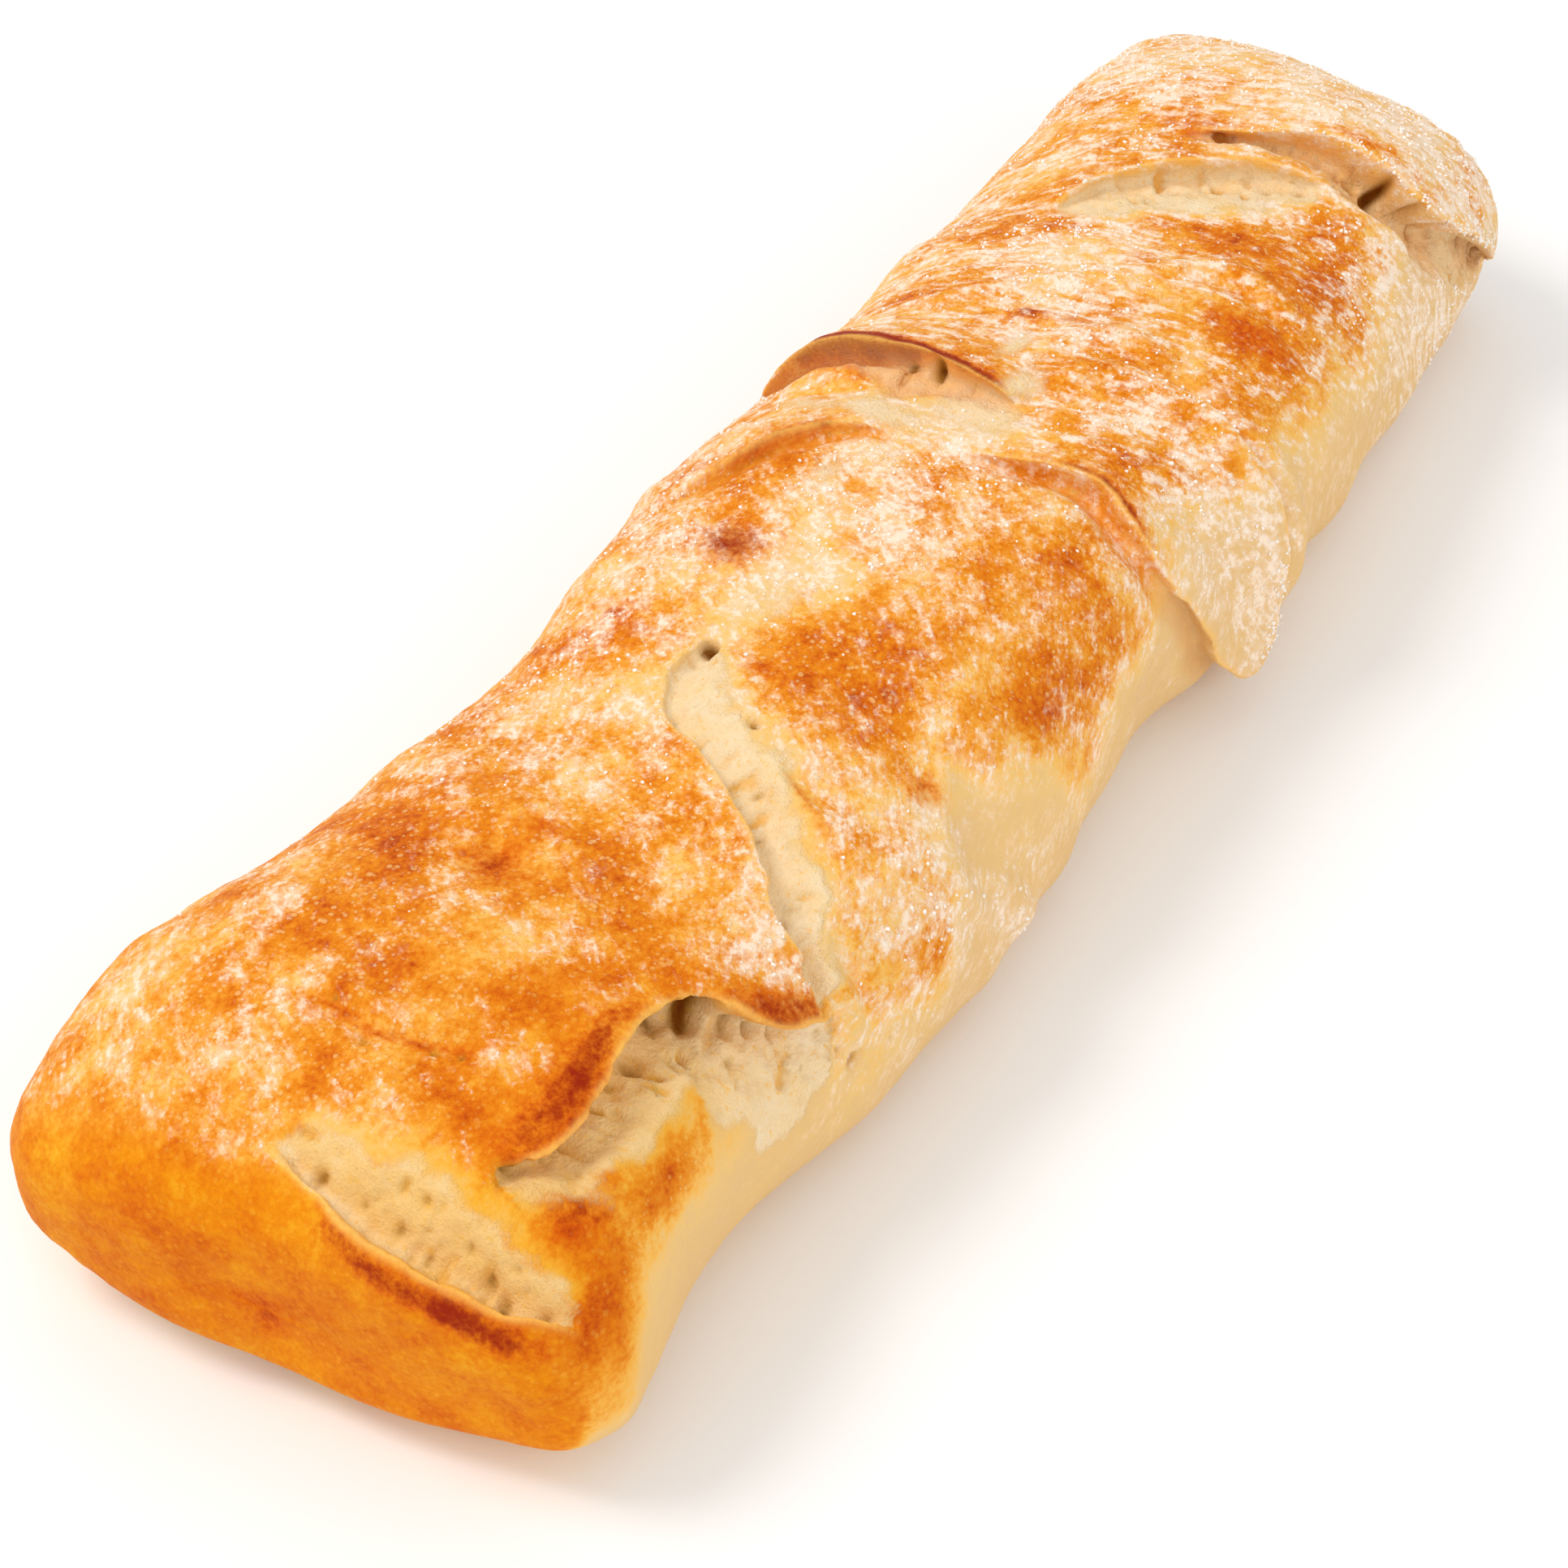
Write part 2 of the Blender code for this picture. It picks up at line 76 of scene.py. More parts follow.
# Bulges and hollows: x, angle, height, reach along X, reach round the section.
BULGES = (
    (-182, 120, -3.0, 9, 16), (-176, 140, -3.5, 10, 16), (-172, 74, 0.6, 8, 18), (-157, 66, 1.8, 14, 18),
    (-145, 60, 1.2, 7, 12), (-132, 57, 0.6, 6, 7), (-90, 60, 1.6, 12, 14), (-53, 66, -1.3, 11, 14),
    (-14, 62, 1.8, 5, 5), (70, 57, 2.3, 11, 14), (85, 66, 0.6, 8, 12), (148, 50, 0.9, 10, 14),
    (164, 46, 2.7, 9, 14), (-183, 70, -2.0, 10, 16), (-181, -128, -2.6, 9, 16), (-184, -158, 3.0, 8, 14),
    (-166, -106, 0.9, 4, 10), (-139, -104, -1.8, 14, 16), (-121, -106, -0.5, 6, 12), (-92, -110, 1.3, 12, 16),
    (-57, -109, 1.3, 6, 10), (-45, -98, 1.6, 7, 6), (-29, -105, 1.9, 9, 14), (13, -110, -2.6, 16, 18),
    (60, -84, -1.6, 10, 14), (72, -106, -3.0, 8, 12), (120, -105, 2.3, 13, 14), (173, -64, 1.0, 8, 20),
    (-165, -20, 1.6, 10, 22), (-112, 6, -1.4, 6, 8), (-80, 18, -2.4, 16, 26), (-54, -60, -3.2, 9, 16),
    (-10, -40, 2.0, 26, 26), (48, 4, -1.2, 10, 10), (84, -30, 1.8, 20, 20), (150, -10, 1.6, 14, 26),
)

# Tears and folds. Each row is x, angle, lip height, depth beyond the lip, width of the opening.
# The opening lies on the left of the direction in which the rows run.
# reach: how far back from its edge the lip rises. over: how far it leans over the opening.
# wall: how much of the crust goes into the drop. pits: depth of the pores in an opened crumb.
# crumb: how much of the opening is torn crumb. glow: how golden the rest is. cells: how open its pores are,
# and how much painted shade lies in them.
SEAMS = {
    "near_tear": dict(
        reach=6.0, over=0.8, wall=1.8, pits=0.6, crumb=1.0, glow=0.3, cells=1.0,
        rows=(
            (-171, 3, 0, 0, 4), (-174, -3, 1.2, 1.6, 9), (-176, -10, 2.0, 2.4, 11), (-177, -18, 2.3, 2.8, 12),
            (-177, -27, 2.4, 2.8, 12), (-177, -37, 2.3, 2.8, 10), (-176, -47, 1.9, 2.4, 8),
            (-174, -56, 1.4, 1.6, 6), (-171, -66, 0, 0, 4),
        ),
    ),
    "hook_tear": dict(
        reach=9.0, over=2.0, wall=2.2, pits=0.9, crumb=1.0, glow=0.2, cells=1.2,
        rows=(
            (-97, -70, 0, 0, 6), (-102, -66, 1.8, 2.4, 15), (-109, -59, 2.6, 3.4, 18),
            (-114, -47, 2.8, 4.6, 18), (-119, -37, 2.6, 5.2, 16), (-127, -33, 2.6, 4.6, 14),
            (-137, -34, 2.8, 4.0, 12), (-145, -35, 2.6, 3.6, 11), (-152, -35, 2.0, 3.6, 9),
            (-158, -31, 1.4, 3.4, 6), (-163, -27, 0, 0, 4),
        ),
    ),
    "flap_tear": dict(
        reach=9.0, over=2.4, wall=2.2, pits=0.7, crumb=0.3, glow=1.0, cells=1.1,
        rows=(
            (27, -6, 0, 0, 4), (27, 0, 2.8, 2.4, 7), (26, 8, 4.8, 3.8, 9), (26, 18, 5.5, 4.2, 10),
            (26, 28, 5.4, 4.2, 10), (26, 38, 4.8, 4.0, 9), (25, 48, 3.7, 3.4, 8), (23, 57, 2.0, 1.8, 6),
            (20, 66, 0, 0, 4),
        ),
    ),
    "far_tear": dict(
        reach=13.0, over=3.0, wall=3.0, pits=0.8, crumb=0.4, glow=0.8, cells=1.2,
        rows=(
            (174, -94, 0, 0, 5), (168, -86, 2.4, 2.6, 10), (158, -75, 3.4, 4.2, 12), (148, -64, 4.0, 5.6, 13),
            (140, -55, 4.2, 6.8, 13), (137, -45, 4.2, 6.8, 13), (136, -35, 4.0, 5.6, 12),
            (135, -24, 3.4, 4.6, 11), (133, -13, 2.8, 3.8, 10), (129, -3, 2.0, 2.6, 8), (122, 7, 0, 0, 5),
        ),
    ),
    "band_tear": dict(
        reach=7.0, over=1.4, wall=1.8, pits=0.7, crumb=1.0, glow=0.3, cells=1.0,
        rows=(
            (124, -26, 0, 0, 6), (122, -17, 2.0, 2.4, 10), (120, -8, 2.2, 3.0, 13), (115, -1, 2.2, 3.0, 14),
            (109, 5, 2.0, 2.8, 14), (102, 12, 1.6, 2.2, 13), (93, 18, 1.2, 1.4, 11), (84, 22, 0, 0, 8),
        ),
    ),
    "strap_fold": dict(
        reach=6.5, over=1.4, wall=2.6, pits=0.0, crumb=0.0, glow=0.17, cells=0.0,
        rows=(
            (43, -16, 0, 0, 4), (46, -32, 0.8, 1.4, 5), (45, -50, 1.2, 2.2, 5), (46, -68, 1.6, 2.8, 5),
            (46, -82, 2.2, 3.0, 5), (44, -93, 2.8, 2.6, 6), (41, -101, 4.4, 2.0, 7), (37, -106, 5.6, 1.4, 8),
            (33, -103, 4.6, 1.4, 8), (29, -96, 3.4, 1.6, 8), (23, -84, 2.0, 1.4, 8), (17, -68, 1.4, 1.2, 8),
            (14, -52, 2.0, 2.6, 8), (15, -40, 2.8, 3.8, 8), (16, -29, 2.8, 3.8, 8), (14, -20, 2.2, 2.6, 7),
            (11, -11, 1.4, 1.4, 6), (9, -2, 0, 0, 4),
        ),
    ),
    "left_fold": dict(
        reach=6.0, over=1.2, wall=1.8, pits=0.0, crumb=0.0, glow=0.32, cells=0.0,
        rows=(
            (8, 2, 0, 0, 4), (6, 9, 1.2, 1.2, 6), (1, 18, 1.8, 2.2, 7), (-5, 26, 1.8, 2.4, 7),
            (-12, 32, 1.4, 1.8, 6), (-19, 39, 0.9, 1.2, 6), (-26, 46, 0, 0, 4),
        ),
    ),
    "split_left": dict(
        reach=5.0, over=0.5, wall=2.0, pits=0.7, crumb=1.0, glow=0.1, cells=1.0,
        rows=(
            (-52, 5, 0, 0, 3), (-57, 7, 0.4, 2.2, 7), (-63, 7, 0.3, 1.4, 7), (-70, 4, 0.4, 1.4, 8),
            (-75, -1, 0.6, 1.6, 9), (-79, -8, 0.8, 2.2, 9), (-84, -16, 1.0, 2.4, 8), (-88, -23, 1.2, 2.8, 8),
            (-92, -30, 1.2, 2.8, 9), (-97, -39, 1.3, 3.0, 10), (-99, -50, 1.2, 3.0, 7),
            (-100, -58, 0.8, 2.6, 5), (-101, -65, 0, 0, 4),
        ),
    ),
}

# Ridges and creases: x, angle, height (below 0 for a crease), half width.
RIDGES = {
    "band_ridge": (
        (43, -34, 0, 4), (49, -52, 1.6, 4), (52, -72, 2.4, 4), (55, -88, 2.6, 4), (55, -102, 0, 4),
    ),
    "split_ridge": (
        (-71, -12, 0, 2), (-74, -17, 1.5, 2), (-77, -26, 1.7, 2), (-76, -34, 1.2, 2), (-73, -40, 0, 2),
    ),
    "left_slit": ((-98, -50, 0, 1.8), (-99, -58, -2.0, 1.8), (-98, -66, -1.6, 1.8), (-96, -76, 0, 1.8)),
    "right_slit": ((-91, -54, 0, 1.6), (-92, -63, -1.8, 1.6), (-92, -72, -1.6, 1.6), (-94, -82, 0, 1.6)),
    "right_slit_ridge": ((-95, -56, 0, 2), (-96, -64, 1.2, 2), (-95, -73, 1.2, 2), (-96, -84, 0, 2)),
    "lobe_edge": (
        (-50, -42, 0, 2.4), (-53, -47, 1.4, 2.4), (-58, -53, 1.6, 2.4), (-62, -60, 1.0, 2.4),
        (-63, -68, 0, 2.4),
    ),
    "pinch_a": ((-66, -62, 0, 1.8), (-64, -70, 1.0, 1.8), (-61, -82, 1.2, 1.8), (-56, -94, 0, 1.8)),
    "pinch_b": ((-57, -74, 0, 2.2), (-54, -83, 1.6, 2.2), (-48, -92, 2.0, 2.2), (-43, -103, 0, 2.2)),
    "wrinkle_a": (
        (65, 4, 0, 2), (71, -2, 1.1, 2), (77, -7, 1.3, 2), (83, -15, 1.4, 2), (84, -27, 1.3, 2),
        (82, -42, 0, 2),
    ),
    "wrinkle_a_crease": (
        (76, -8, 0, 1.8), (79, -15, -1.3, 1.8), (79, -26, -1.5, 1.8), (77, -38, -1.2, 1.8), (74, -50, 0, 1.8),
    ),
    "wrinkle_c": ((60, 12, 0, 2), (64, 4, 1.0, 2), (68, -2, 1.0, 2), (73, -8, 0, 2)),
    "wrinkle_b": ((98, 36, 0, 2), (104, 26, 0.9, 2), (112, 18, 1.0, 2), (121, 8, 0, 2)),
    "rear_fold": ((42, 30, 0, 2.4), (47, 22, 1.4, 2.4), (54, 14, 1.4, 2.4), (58, 4, 0, 2.4)),
    "toasted_nub": ((46, 10, 0, 2.4), (49, 5, 1.8, 2.4), (51, 0, 1.4, 2.4), (52, -4, 0, 2.4)),
    "crest_g": ((36, -2, 0, 3), (44, -2, 1.8, 3), (50, -6, 2.0, 3), (53, -14, 1.6, 3), (52, -24, 0, 3)),
    "crest_h": ((29, -7, 0, 3), (37, -9, 1.6, 3), (42, -14, 1.8, 3), (45, -22, 1.0, 3), (47, -32, 0, 3)),
    "strap_line": (
        (28, -8, 0, 2), (33, -17, -0.9, 2), (35, -27, -0.9, 2), (36, -38, -0.9, 2), (35, -52, 0, 2),
    ),
    "tongue_line": (
        (24, -50, 0, 2.2), (28, -64, -1.0, 2.2), (33, -78, -1.2, 2.2), (40, -94, -1.0, 2.2),
        (42, -101, 0, 2.2),
    ),
    "flap_string": (
        (12, 44, 0, 1.8), (15, 35, 1.8, 2), (18, 27, 3.4, 2.2), (21, 20, 4.4, 2.4), (23, 12, 4.4, 2.4),
        (24, 4, 2.4, 2.2), (28, -6, 0, 1.8),
    ),
    "near_wrinkle": (
        (-150, 14, 0, 1.8), (-150, 6, -1.3, 1.8), (-151, -1, -1.5, 1.8), (-149, -9, -1.3, 1.8),
        (-146, -18, 0, 1.8),
    ),
    "near_crest": ((-146, 14, 0, 2), (-147, 6, 1.0, 2), (-147, -1, 1.1, 2), (-144, -10, 0, 2)),
    "small_slit": ((-30, 25, 0, 1.6), (-25, 22, -1.8, 1.6), (-20, 19, 0, 1.6)),
    "side_crease": ((18, -66, 0, 1.8), (13, -76, -0.8, 1.8), (8, -86, -0.8, 1.8), (4, -94, 0, 1.8)),
    "dark_crease": ((-105, 12, 0, 1.8), (-109, 5, -1.2, 1.8), (-114, -3, 0, 1.8)),
}

# ---------------- finer form, only in the looks

RINGS, COLUMNS = 372, 176
DENSITY = ((-180, 0.25), (-125, 0.3), (-112, 1.0), (60, 1.0), (90, 0.6), (125, 0.3), (180, 0.25))  # by angle
CROWDING, CROWD_REACH = 0.6, 3.0  # how strongly, and within how many mm, points gather along a seam
REFINE_REACH = 7.0  # faces from half this far behind a tear's edge to twice this far into it are split
FINE_SWELLS = ((5.0, 0.26), (2.4, 0.14))
PORE_DEPTH = 1.4
# Wrinkles too fine for the solid: x, angle, height (below 0 for a crease), half width.
WRINKLES = (
    ((19, -3, 0, 1.4), (20, -12, 0.7, 1.4), (23, -22, 0.7, 1.4), (27, -32, 0, 1.4)),
    ((30, -8, 0, 1.2), (31, -24, -0.8, 1.2), (33, -38, -0.8, 1.2), (36, -54, 0, 1.2)),
    ((44, -28, 0, 1.4), (44, -44, 0.7, 1.4), (43, -62, 0.8, 1.4), (44, -80, 0, 1.4)),
    ((50, -52, 0, 1.3), (50, -64, -0.9, 1.3), (52, -78, -0.9, 1.3), (54, -93, 0, 1.3)),
    ((26, -54, 0, 1.4), (28, -66, 0.8, 1.4), (32, -78, 0.9, 1.4), (40, -95, 0, 1.4)),
    ((26, -38, 0, 1.2), (27, -54, -0.7, 1.2), (28, -70, -0.9, 1.2), (33, -86, -0.9, 1.2), (37, -98, 0, 1.2)),
    ((21, -44, 0, 1.2), (21, -58, 0.6, 1.2), (24, -74, 0.7, 1.2), (30, -90, 0, 1.2)),
    ((116, 20, 0, 1.4), (121, 6, -1.1, 1.4), (125, -4, -1.2, 1.4), (126, -14, 0, 1.4)),
    ((112, 24, 0, 1.4), (118, 12, 0.8, 1.4), (123, 1, 0.9, 1.4), (124, -10, 0, 1.4)),
    ((88, 30, 0, 1.4), (92, 20, 0.6, 1.4), (99, 12, 0.6, 1.4), (106, 2, 0, 1.4)),
    ((56, 24, 0, 1.4), (62, 14, 0.7, 1.4), (68, 8, 0.7, 1.4), (76, 2, 0, 1.4)),
    ((-56, -34, 0, 1.2), (-62, -30, 0.8, 1.2), (-68, -22, 0.9, 1.2), (-72, -12, 0, 1.2)),
    ((-52, -52, 0, 1.1), (-56, -60, -0.6, 1.1), (-57, -70, -0.6, 1.1), (-53, -80, 0, 1.1)),
    ((-69, -66, 0, 1.1), (-68, -76, -0.6, 1.1), (-64, -86, -0.6, 1.1), (-58, -98, 0, 1.1)),
    ((-61, -78, 0, 1.1), (-57, -86, 0.7, 1.1), (-51, -95, 0.7, 1.1), (-47, -104, 0, 1.1)),
    ((-120, 14, 0, 1.2), (-113, 10, 0.6, 1.2), (-106, 8, 0.6, 1.2), (-98, 10, 0, 1.2)),
    ((-142, 34, 0, 1.6), (-136, 30, 0.8, 1.6), (-128, 24, 0.7, 1.6), (-120, 22, 0, 1.6)),
)
# Pits torn in the crumb: x, angle, radius, depth, and how dark the painted shade in the pit is.
HOLES = (
    (-118, -43, 3.0, 3.2, 1.0), (-122, -38, 2.4, 2.8, 0.7), (-131, -41, 2.8, 2.4, 0.5),
    (-136, -40, 1.6, 1.2, 0.3), (-146, -37, 1.8, 1.6, 0.3), (-151, -38, 1.8, 1.4, 0.4),
    (-160, -30, 2.2, 2.8, 0.9), (-156, -36, 1.2, 0.8, 0.2), (-112, -60, 1.6, 1.8, 0.3),
    (-115, -54, 1.8, 2.0, 0.3), (-109, -67, 1.4, 1.2, 0.2), (-107, -80, 1.4, 0.8, 0.1),
    (-97, -88, 2.2, 1.8, 0.6), (-100, -82, 1.4, 1.0, 0.4), (-102, -76, 1.4, 1.2, 0.1),
    (-88, -90, 0.9, 0.6, 0.4), (-82, -90, 0.8, 0.6, 0.4), (-124, -50, 1.4, 0.9, 0.1),
    (-118, -62, 1.5, 0.8, 0.1), (-140, -44, 1.2, 0.8, 0.1), (-172, -4, 1.6, 1.2, 0.6),
    (-173, -11, 1.4, 1.0, 0.2), (-174, -18, 1.8, 1.4, 0.4), (-175, -25, 1.6, 1.2, 0.3),
    (-172, -31, 1.4, 0.9, 0.2), (-174, -38, 1.8, 1.6, 0.5), (-175, -44, 1.6, 1.4, 0.5),
    (-173, -54, 1.3, 1.0, 0.5), (-170, -20, 1.2, 0.7, 0.1), (-171, -42, 1.1, 0.7, 0.1),
    (-153, 0, 1.4, 1.4, 0.7), (-150, -8, 1.3, 1.2, 0.6), (-149, -12, 1.1, 1.0, 0.6),
    (-149, 5, 1.0, 0.8, 0.3), (-55, 4, 1.6, 2.2, 1.0), (-67, -8, 1.4, 1.6, 0.7), (-71, 1, 1.0, 0.8, 0.1),
    (-78, -16, 1.5, 1.4, 0.3), (-84, -23, 1.2, 1.0, 0.2), (-90, -29, 1.2, 1.2, 0.2),
    (-96, -41, 1.4, 1.4, 0.2), (-99, -54, 1.6, 2.0, 0.9), (23, 31, 1.6, 1.6, 1.0), (24, 13, 1.4, 1.6, 0.9),
    (24, 6, 1.8, 1.8, 0.9), (22, 41, 1.2, 1.2, 0.6), (133, -39, 2.8, 3.4, 1.0), (131, -31, 1.8, 1.8, 0.6),
    (136, -50, 1.6, 1.6, 0.5), (141, -60, 1.6, 1.4, 0.4), (149, -69, 2.0, 1.8, 0.6),
    (112, -4, 1.4, 1.2, 0.3), (106, 1, 1.3, 1.2, 0.3), (116, -13, 1.6, 1.4, 0.4), (98, 6, 1.1, 0.9, 0.2),
    (119, -20, 1.3, 1.2, 0.3), (38, -2, 1.0, 0.8, 0.2), (33, 1, 0.9, 0.6, 0.2),
)

# ---------------- where the crust is what colour

# The angle on the right side below which the crust stays pale dough: x, angle.
PALE_EDGE = (
    (-182, -95), (-166, -90), (-155, -72), (-142, -68), (-130, -70), (-114, -78), (-100, -88), (-74, -97),
    (-67, -79), (-58, -56), (-51, -48), (-45, -60), (-22, -87), (3, -76), (16, -62), (22, -60), (60, -64),
    (104, -72), (124, -60), (129, -58), (150, -75), (182, -80),
)
# How much flour lies on the crust in general: x, amount.
FLOUR_BY_X = (
    (-185, 0.28), (-165, 0.36), (-140, 0.34), (-100, 0.38), (-60, 0.50), (-20, 0.56), (20, 0.62), (60, 0.60),
    (100, 0.58), (125, 0.70), (138, 1.0), (185, 1.2),
)
# Spots: x, angle, amount, reach along X, reach round the section.
BAKE_SPOTS = (
    (-143, -57, 0.22, 20, 10), (-112, 22, 0.20, 20, 18), (-50, -18, 0.22, 14, 14), (-24, -54, 0.22, 14, 10),
    (-17, -81, 0.18, 8, 8), (67, -32, 0.25, 8, 14), (98, -25, 0.14, 14, 24), (80, 27, 0.20, 8, 8),
    (154, -67, 0.20, 7, 8), (-48, 3, -0.30, 24, 5), (-34, 4, -0.22, 12, 9), (-32, -39, -0.20, 18, 4),
    (17, 0, -0.55, 7, 16), (100, 30, -0.10, 20, 14), (-72, -60, -0.10, 14, 16), (160, 0, -0.25, 26, 60),
    (-14, -2, -0.15, 16, 14), (60, 4, -0.16, 16, 12), (-145, -60, 0.28, 14, 11), (20, 24, 0.75, 3, 13),
)
TOAST_SPOTS = (
    (-184, 12, 0.75, 6, 6), (-113, 4, 0.70, 6, 8), (-103, 5, 0.40, 5, 6), (-159, -46, 0.70, 8, 8),
    (-105, -60, 0.60, 5, 6), (-31, -52, 0.38, 6, 6), (-5, -56, 0.40, 6, 6), (-58, -44, 0.60, 4, 5),
    (70, -32, 0.65, 7, 10), (138, 6, 0.40, 6, 8), (-31, 14, 0.90, 7, 9), (-53, 28, 0.65, 5, 7),
    (-56, -4, 0.60, 3, 6), (-93, -18, 0.35, 6, 6), (-7, -2, 0.25, 10, 10), (86, -8, 0.40, 6, 5),
    (37, -12, 0.35, 5, 6), (93, -29, 0.25, 8, 8), (149, -14, 0.30, 8, 10), (-179, 32, 0.35, 4, 8),
    (-178, 58, 0.35, 4, 8), (78, 26, 0.30, 6, 6), (-5, -20, 0.20, 10, 8),
)
FLOUR_SPOTS = (
    (-138, 30, 0.45, 5, 5), (-129, 10, 0.45, 5, 4), (-84, -6, 0.35, 8, 7), (-31, 25, 0.55, 5, 6),
    (-56, 25, 0.50, 6, 7), (29, -20, 0.80, 3, 4), (33, -26, 0.70, 3, 3), (46, -35, 0.40, 5, 6),
    (32, -62, 0.50, 9, 14), (136, 26, 0.40, 8, 10), (148, -3, 0.35, 8, 10), (150, -24, 0.35, 6, 8),
    (153, -50, 0.40, 7, 10), (72, 21, 0.45, 7, 5), (-69, -76, 0.50, 9, 10), (-49, -93, 0.60, 8, 8),
    (-100, -40, 0.40, 5, 8), (-70, 3, 0.40, 6, 4), (87, 8, 0.35, 8, 6), (-66, 36, 0.40, 8, 8),
    (-81, 54, 0.35, 8, 8), (41, -92, 0.70, 6, 14), (118, -72, 0.45, 6, 12), (-146, -27, 0.35, 4, 4),
    (-150, -56, -0.30, 18, 14), (-25, -28, -0.22, 16, 14), (-24, -60, -0.20, 14, 10),
    (-132, -6, -0.15, 16, 12), (84, -50, -0.15, 16, 14), (150, -92, 0.50, 30, 16),
    (-172, -70, -0.40, 10, 12), (-14, -2, 0.48, 18, 16), (60, 4, 0.70, 18, 14), (104, -58, 0.42, 18, 12),
    (-93, 20, 0.32, 14, 14), (134, -84, 0.65, 14, 14), (-35, 4, 0.30, 10, 10), (20, 24, -0.60, 3, 13),
    (-75, -66, 0.30, 12, 12), (-145, -60, -0.25, 12, 10),
)
CRUMB_SPOTS = (
    (40, 1, 0.7, 6, 2.5), (50, -1, 0.4, 4, 2), (-62, 4, 0.5, 5, 3), (20, -2, 0.9, 6, 8),
    (11, 10, 0.8, 4, 10), (152, -79, 0.9, 12, 7), (9, 26, 0.6, 3, 10), (30, -4, 0.7, 6, 4),
    (-9, 8, 0.5, 8, 4), (-40, 0, 0.4, 10, 4),
)
# Strokes: x, angle, amount, half width.
TOAST_AND_CREASE_SHADE_STROKES = (
    ((-175, -2, 0, 2), (-178, -12, 0.8, 2.6), (-179, -26, 0.8, 2.8), (-179, -40, 1.0, 3.6),
     (-178, -54, 0.8, 3.6), (-175, -68, 0.2, 4)),
    ((-165, -24, 0, 4), (-159, -27, 0.6, 5), (-151, -30, 0.8, 6), (-143, -30, 0.9, 5), (-134, -29, 0.8, 3.4),
     (-126, -30, 0.5, 2.6), (-120, -33, 0.2, 2.4)),
    ((-118, -36, 0, 2), (-113, -45, 0.6, 3), (-108, -55, 0.9, 4), (-103, -61, 0.8, 3.6), (-99, -68, 0.2, 3)),
    ((28, -8, 0.3, 1.8), (28, 0, 1.0, 2.0), (27, 10, 1.3, 2.3), (27, 20, 1.4, 2.3), (27, 30, 1.4, 2.3),
     (27, 40, 1.3, 2.3), (26, 50, 1.1, 2.2), (24, 60, 0.6, 2.0)),
    ((127, 2, 0.0, 2), (136, -12, 0.35, 2.5), (139, -28, 0.45, 3), (142, -46, 0.4, 3), (150, -60, 0.1, 3)),
    ((45, 9, 0.2, 2), (49, 4, 0.9, 2.4), (52, -3, 0.4, 2.4)),
    ((-72, -13, 0.0, 1), (-75, -22, 0.5, 1.2), (-79, -36, 0.3, 1.2)),
    ((78, -10, 0.1, 1.2), (77, -26, 0.4, 1.4), (74, -44, 0.1, 1.4)),
    # This line runs in the near_wrinkle crease: its brown is painted shade in the crease.
    ((-150, 13, 0.1, 0.9), (-150, 6, 0.7, 1.1), (-151, -1, 0.8, 1.1), (-149, -9, 0.7, 1.1),
     (-146, -17, 0.1, 0.9)),
    ((10, -6, 0.2, 1.0), (14, -18, 0.6, 1.2), (17, -30, 0.9, 1.4), (16, -42, 0.9, 1.4), (14, -52, 0.3, 1.2)),
    ((7, 6, 0.2, 1.2), (2, 17, 0.8, 1.6), (-4, 25, 0.8, 1.6), (-12, 32, 0.6, 1.4), (-20, 40, 0.1, 1.2)),
    ((116, 19, 0.1, 0.8), (122, 5, 0.6, 0.9), (126, -5, 0.6, 0.9), (126, -13, 0.1, 0.8)),
)
FLOUR_STROKES = (
    ((-112, -28, 0.1, 2), (-106, -42, 0.8, 2.2), (-101, -54, 0.8, 2.2), (-98, -62, 0.3, 2)),
    ((80, -4, 0.2, 2), (83, -16, 0.8, 1.8), (82, -30, 0.3, 2)),
    ((-60, -82, 0.2, 3), (-52, -92, 0.9, 3), (-46, -104, 0.6, 3)),
    ((24, -60, 0.4, 2), (32, -80, 0.8, 3), (38, -100, 0.9, 4)),
    ((34, -52, 0.4, 2), (40, -74, 0.8, 3), (44, -96, 0.8, 3)),
    ((-34, 40, 0.3, 3), (-24, 44, 0.7, 3), (-12, 38, 0.3, 3)),
    ((98, 34, 0.2, 2), (108, 18, 0.6, 2), (118, 10, 0.2, 2)),
    ((20, -10, 0.3, 1.2), (24, -24, 0.9, 1.4), (25, -38, 0.9, 1.4), (24, -54, 0.8, 1.4), (27, -74, 0.7, 1.6)),
    ((32, -14, 0.2, 1.2), (35, -30, 0.8, 1.3), (38, -48, 0.9, 1.3), (40, -66, 0.8, 1.3), (43, -84, 0.5, 1.5)),
    ((48, -40, 0.2, 1.4), (49, -58, 0.7, 1.4), (51, -74, 0.7, 1.4), (54, -90, 0.2, 1.4)),
    ((-60, -36, 0.2, 1.2), (-66, -28, 0.7, 1.2), (-73, -14, 0.4, 1.2)),
)


def spline(knots, values, at):
    """Natural cubic spline through the rows of values, read at any array of places."""
    knots, values = np.asarray(knots, float), np.asarray(values, float)
    gap = np.diff(knots)
    rise = np.diff(values, axis=0) / gap[:, None]
    system = np.eye(len(knots))
    right = np.zeros_like(values)
    for i in range(1, len(knots) - 1):
        system[i, i - 1 : i + 2] = gap[i - 1], 2 * (gap[i - 1] + gap[i]), gap[i]
        right[i] = 3 * (rise[i] - rise[i - 1])
    bend = np.linalg.solve(system, right)
    i = np.clip(np.searchsorted(knots, at) - 1, 0, len(gap) - 1)
    u, h = (at - knots[i])[..., None], gap[i][..., None]
    slope = rise[i] - h * (2 * bend[i] + bend[i + 1]) / 3
    return values[i] + u * (slope + u * (bend[i] + u * (bend[i + 1] - bend[i]) / (3 * h)))


def add_object(name, data):
    added = bpy.data.objects.new(name, data)
    bpy.context.scene.collection.objects.link(added)
    return added


